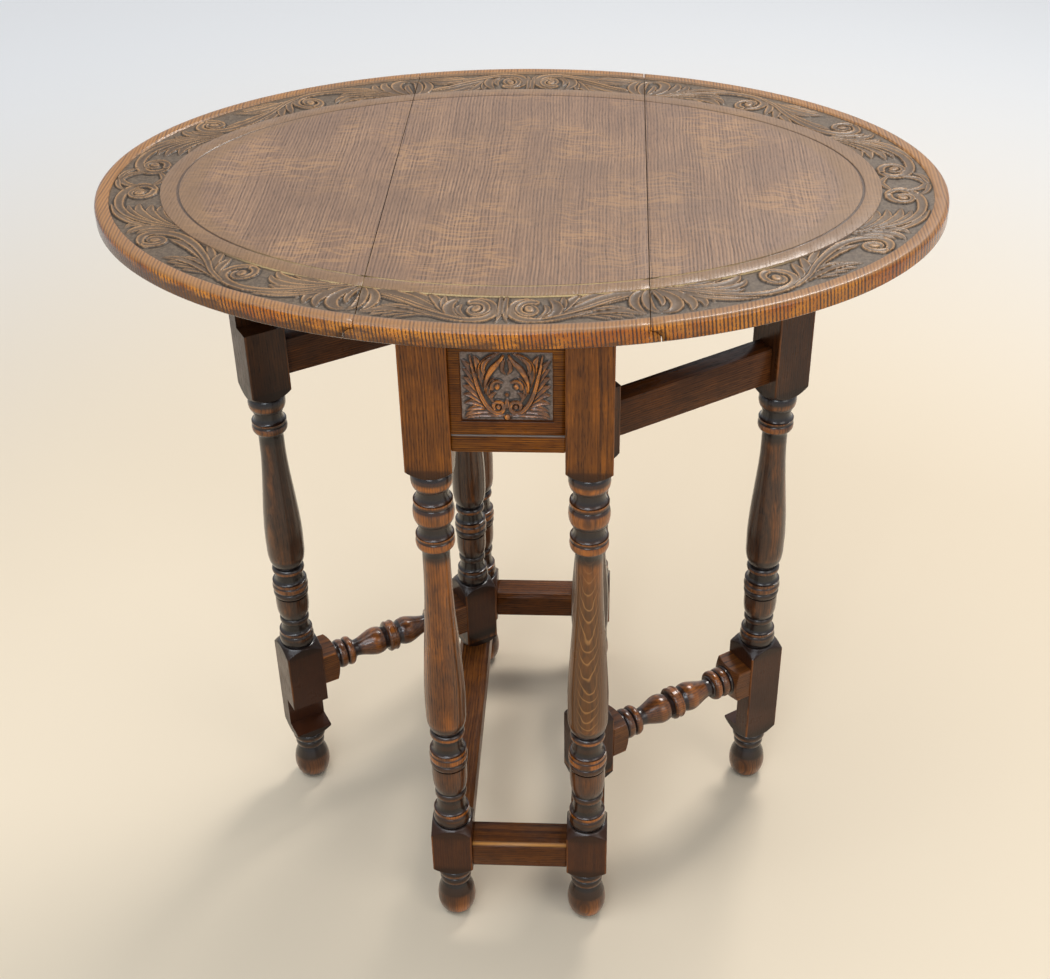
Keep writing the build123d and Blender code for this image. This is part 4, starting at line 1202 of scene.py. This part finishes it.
# the gates' oak is darker than the frame's: painted shade, as the leaves shade the gates
GATE_OAK = ((0.018, 0.008, 0.005), (0.060, 0.021, 0.008), (0.115, 0.040, 0.011), (0.34, 0.105, 0.018),
            (0.010, 0.006, 0.005))
RAIL_OAK = ((0.022, 0.009, 0.005), (0.095, 0.030, 0.009), (0.170, 0.055, 0.013), (0.34, 0.105, 0.018),
            (0.010, 0.006, 0.005))
LOW_OAK = ((0.030, 0.010, 0.004), (0.130, 0.040, 0.009), (0.230, 0.076, 0.015), (0.38, 0.115, 0.015),
           (0.018, 0.009, 0.007))
PLAIN_OAK = ((0.085, 0.045, 0.022), (0.20, 0.115, 0.056), (0.27, 0.16, 0.08), (0.30, 0.18, 0.09),
             (0.07, 0.04, 0.022))
LEG_PITHS = {"front_left": (85.0, 12.0), "front_right": (6.0, 62.0), "rear_left": (60.0, 40.0),
             "rear_right": (-75.0, 25.0)}
MIDDLE = (0.0, 0.0)
NODES = frame["nodes"]


def floor_place(node):
    """The middle of a post in millimetres, on the floor."""
    point = axis_of(node)
    return point.x / MM, point.y / MM


def paint(obj, material):
    obj.data.materials.clear()
    obj.data.materials.append(material)


def modifier(obj, name, kind, **settings):
    added = obj.modifiers.new(name, kind)
    for setting, value in settings.items():
        setattr(added, setting, value)


def ease_edges(obj, width):
    """Rounds the arrises of a CAD piece a little, as handling has."""
    modifier(obj, "weld", "WELD", merge_threshold=TOUCHING)
    modifier(obj, "ease", "BEVEL", width=width * MM, segments=2, limit_method="ANGLE",
             angle_limit=radians(35), harden_normals=True)
    obj.data.polygons.foreach_set("use_smooth", [True] * len(obj.data.polygons))


def level_shading(obj):
    """Flat faces keep their shading while the small facets of a rounded edge run into each other."""
    modifier(obj, "weld", "WELD", merge_threshold=TOUCHING)
    modifier(obj, "normals", "WEIGHTED_NORMAL", keep_sharp=True, weight=100)
    sharpen(obj, angle=35)


def finish_board(node, material, width=0.9):
    paint(NODES[node], material)
    ease_edges(NODES[node], width)


def finish_frame():
    """Legs, aprons, side rails and stretchers, each cut from its own part of the tree."""
    for leg in LEGS:
        corner = leg.name.removeprefix("turned_leg_")
        paint(leg, oak_piece(f"leg_{corner}_oak", "Z", LEG_OAK, floor_place(f"leg_{corner}"), 0.0,
                             LEG_PITHS[corner], 2.3, turned=True,
                             detail=nested_curves if corner == "front_right" else None))
    for end, shift in (("front", 240.0), ("rear", 310.0)):
        low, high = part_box(f"apron_{end}")
        groove = partial(pale_scratch_line, low.z / MM + 16.0, max(abs(low.y), abs(high.y)) / MM)
        finish_board(f"apron_{end}", oak_piece(f"apron_{end}_oak", "X", APRON_OAK, MIDDLE, 0.0,
                                               (160.0, shift), 2.2, 0.8, detail=groove))
        low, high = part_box(f"stretcher_{end}")
        arris = partial(rubbed_and_highlit_arris, max(abs(low.y), abs(high.y)) / MM, high.z / MM)
        finish_board(f"stretcher_{end}", oak_piece(f"stretcher_{end}_oak", "X", LOW_OAK, MIDDLE, 0.0,
                                                   (90.0, shift), 2.4, detail=arris))
    for side, shift in (("left", -40.0), ("right", 55.0)):
        oak = oak_piece(f"long_rails_{side}_oak", "Y", LOW_OAK, (shift, 0), 0.0, (120.0, -30.0), 2.4)
        finish_board(f"side_rail_{side}", oak)
        finish_board(f"side_stretcher_{side}", oak)


def finish_gates():
    """The gates, darker than the frame because the leaves shade them; their grain turns with them."""
    # painted shade: the left gate takes a darker copy of the same colours than the right gate does
    for side, share in (("left", 0.85), ("right", 1.05)):
        oak = tuple(tuple(share * value for value in colour) for colour in GATE_OAK)
        gate = floor_place(f"gate_stile_{side}"), turned_to(gate_direction(side))
        post = oak_piece(f"gate_{side}_posts_oak", "Z", oak, *gate, (70.0, 150.0), 2.3, 0.4, turned=True)
        rail = oak_piece(f"gate_{side}_rail_oak", "X", RAIL_OAK, *gate, (120.0, 30.0), 2.4)
        stretcher = oak_piece(f"gate_{side}_stretcher_oak", "X", LOW_OAK, *gate, (60.0, 20.0), 2.4, 0.5,
                              turned=True)
        finish_board(f"gate_rail_{side}", rail)
        for pieces, material in ((GATE_LEGS, post), (GATE_STILES, post), (GATE_STRETCHERS, stretcher)):
            for piece in pieces:
                if piece.name.endswith(side):
                    paint(piece, material)


def finish_top():
    """The three boards, the carved band and the sprays in the aprons."""
    half_long, half_short, surface = (value / MM for value in CAD_BOX[1])
    finish = top_finish(half_long, half_short, surface)
    for node in ("centre_board", "leaf_left", "leaf_right"):
        paint(NODES[node], finish)
        level_shading(NODES[node])
    band = band_finish(surface)
    for skin in BAND_SKINS:
        paint(skin, band)
    panel = panel_finish(-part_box("apron_front")[0].y / MM)
    for skin in PANELS:
        paint(skin, panel)


def finish_small_parts():
    """What is under the top: blocks of bare oak, hinges and screws."""
    plain = oak_piece("plain_oak_finish", "X", PLAIN_OAK, MIDDLE, 0.6, (90.0, 40.0), 2.4, polish=0.55)
    for node in ("glue_blocks", "leaf_stop_left", "leaf_stop_right"):
        finish_board(node, plain, 0.4)
    steel = dark_steel()
    for node, obj in NODES.items():
        if node.startswith("hinge_"):
            paint(obj, steel)
            level_shading(obj)
    for screws in SCREWS:
        paint(screws, steel)


finish_top()
finish_frame()
finish_gates()
finish_small_parts()


# ---------------------------------------------------------------- camera, light and floor

def photo_camera():
    """The camera at the photograph's place, with a sensor 36 mm wide; the frame of 1050 by 979 it is meant
    for is not set here.
    """
    yaw, pitch, roll = 0.0615, 0.6204, -0.0205
    forward = Vector((-sin(yaw) * cos(pitch), cos(yaw) * cos(pitch), -sin(pitch)))
    level = Vector((cos(yaw), sin(yaw), 0))
    above = level.cross(forward)
    right = cos(roll) * level + sin(roll) * above
    up = cos(roll) * above - sin(roll) * level
    data = bpy.data.cameras.new("camera")
    data.lens = 55.457
    data.sensor_width = 36.0
    camera = link(bpy.data.objects.new("camera", data))
    turn = Matrix((right, up, -forward)).transposed().to_4x4()
    camera.matrix_world = Matrix.Translation((0.0808, -1.3108, 1.3342)) @ turn
    bpy.context.scene.camera = camera


def area_light(name, place, target, size, power, colour):
    data = bpy.data.lights.new(name, "AREA")
    data.shape = "RECTANGLE"
    data.size, data.size_y = size
    data.energy = power
    data.color = colour
    lamp = link(bpy.data.objects.new(name, data))
    lamp.location = place
    lamp.rotation_euler = (Vector(target) - Vector(place)).to_track_quat("-Z", "Y").to_euler()


def plain_floor():
    """A pale floor, a little warm near the table and cooler away from it."""
    g = Graph("plain_floor")
    x, y, _ = g.place()
    away = g.length(x, y)
    glow = away.ramp(900.0, 3400.0, 0.0, 0.34) + away.ramp(3400.0, 9000.0, 0.0, 0.44)
    g.set(Base_Color=g.mix(away.ramp(700.0, 2600.0), (0.76, 0.65, 0.50), (0.84, 0.85, 0.86)), Roughness=0.9,
          Specular_IOR_Level=0.2, Emission_Color=(0.86, 0.88, 0.92), Emission_Strength=g.seen() * glow)
    return g.material


def pale_world():
    """A background as pale as the far floor where it is seen or reflected, and dimmer as a light."""
    g = Graph("pale_world", "worlds", "Background")
    g.set(Color=(0.80, 0.83, 0.87), Strength=g.seen() * 0.60 + 0.25)
    bpy.context.scene.world = g.material


photo_camera()
area_light("window", (-0.6, -1.15, 2.4), (0, 0, 0.5), (2.2, 0.8), 25, (0.86, 0.93, 1.0))
area_light("front_window", (-0.35, -2.3, 1.9), (0, 0, 0.5), (1.0, 0.6), 17, (0.86, 0.93, 1.0))
area_light("door", (1.5, -1.3, 1.5), (0, 0, 0.4), (1.0, 1.2), 9, (1.0, 0.97, 0.92))
area_light("lamp", (0.8, 1.4, 2.5), (0, 0, 0.72), (0.8, 0.7), 42, (1.0, 0.97, 0.93))
area_light("ceiling", (-0.2, 0.4, 3.0), (0, 0, 0.6), (2.4, 2.0), 34, (1.0, 1.0, 1.0))

pale_world()
corners = [(-40, -40, 0), (40, -40, 0), (40, 40, 0), (-40, 40, 0)]
floor = mesh_object("floor", corners, [(0, 1, 2, 3)], smooth=False)
paint(floor, plain_floor())

bpy.context.scene.view_settings.view_transform = "Standard"
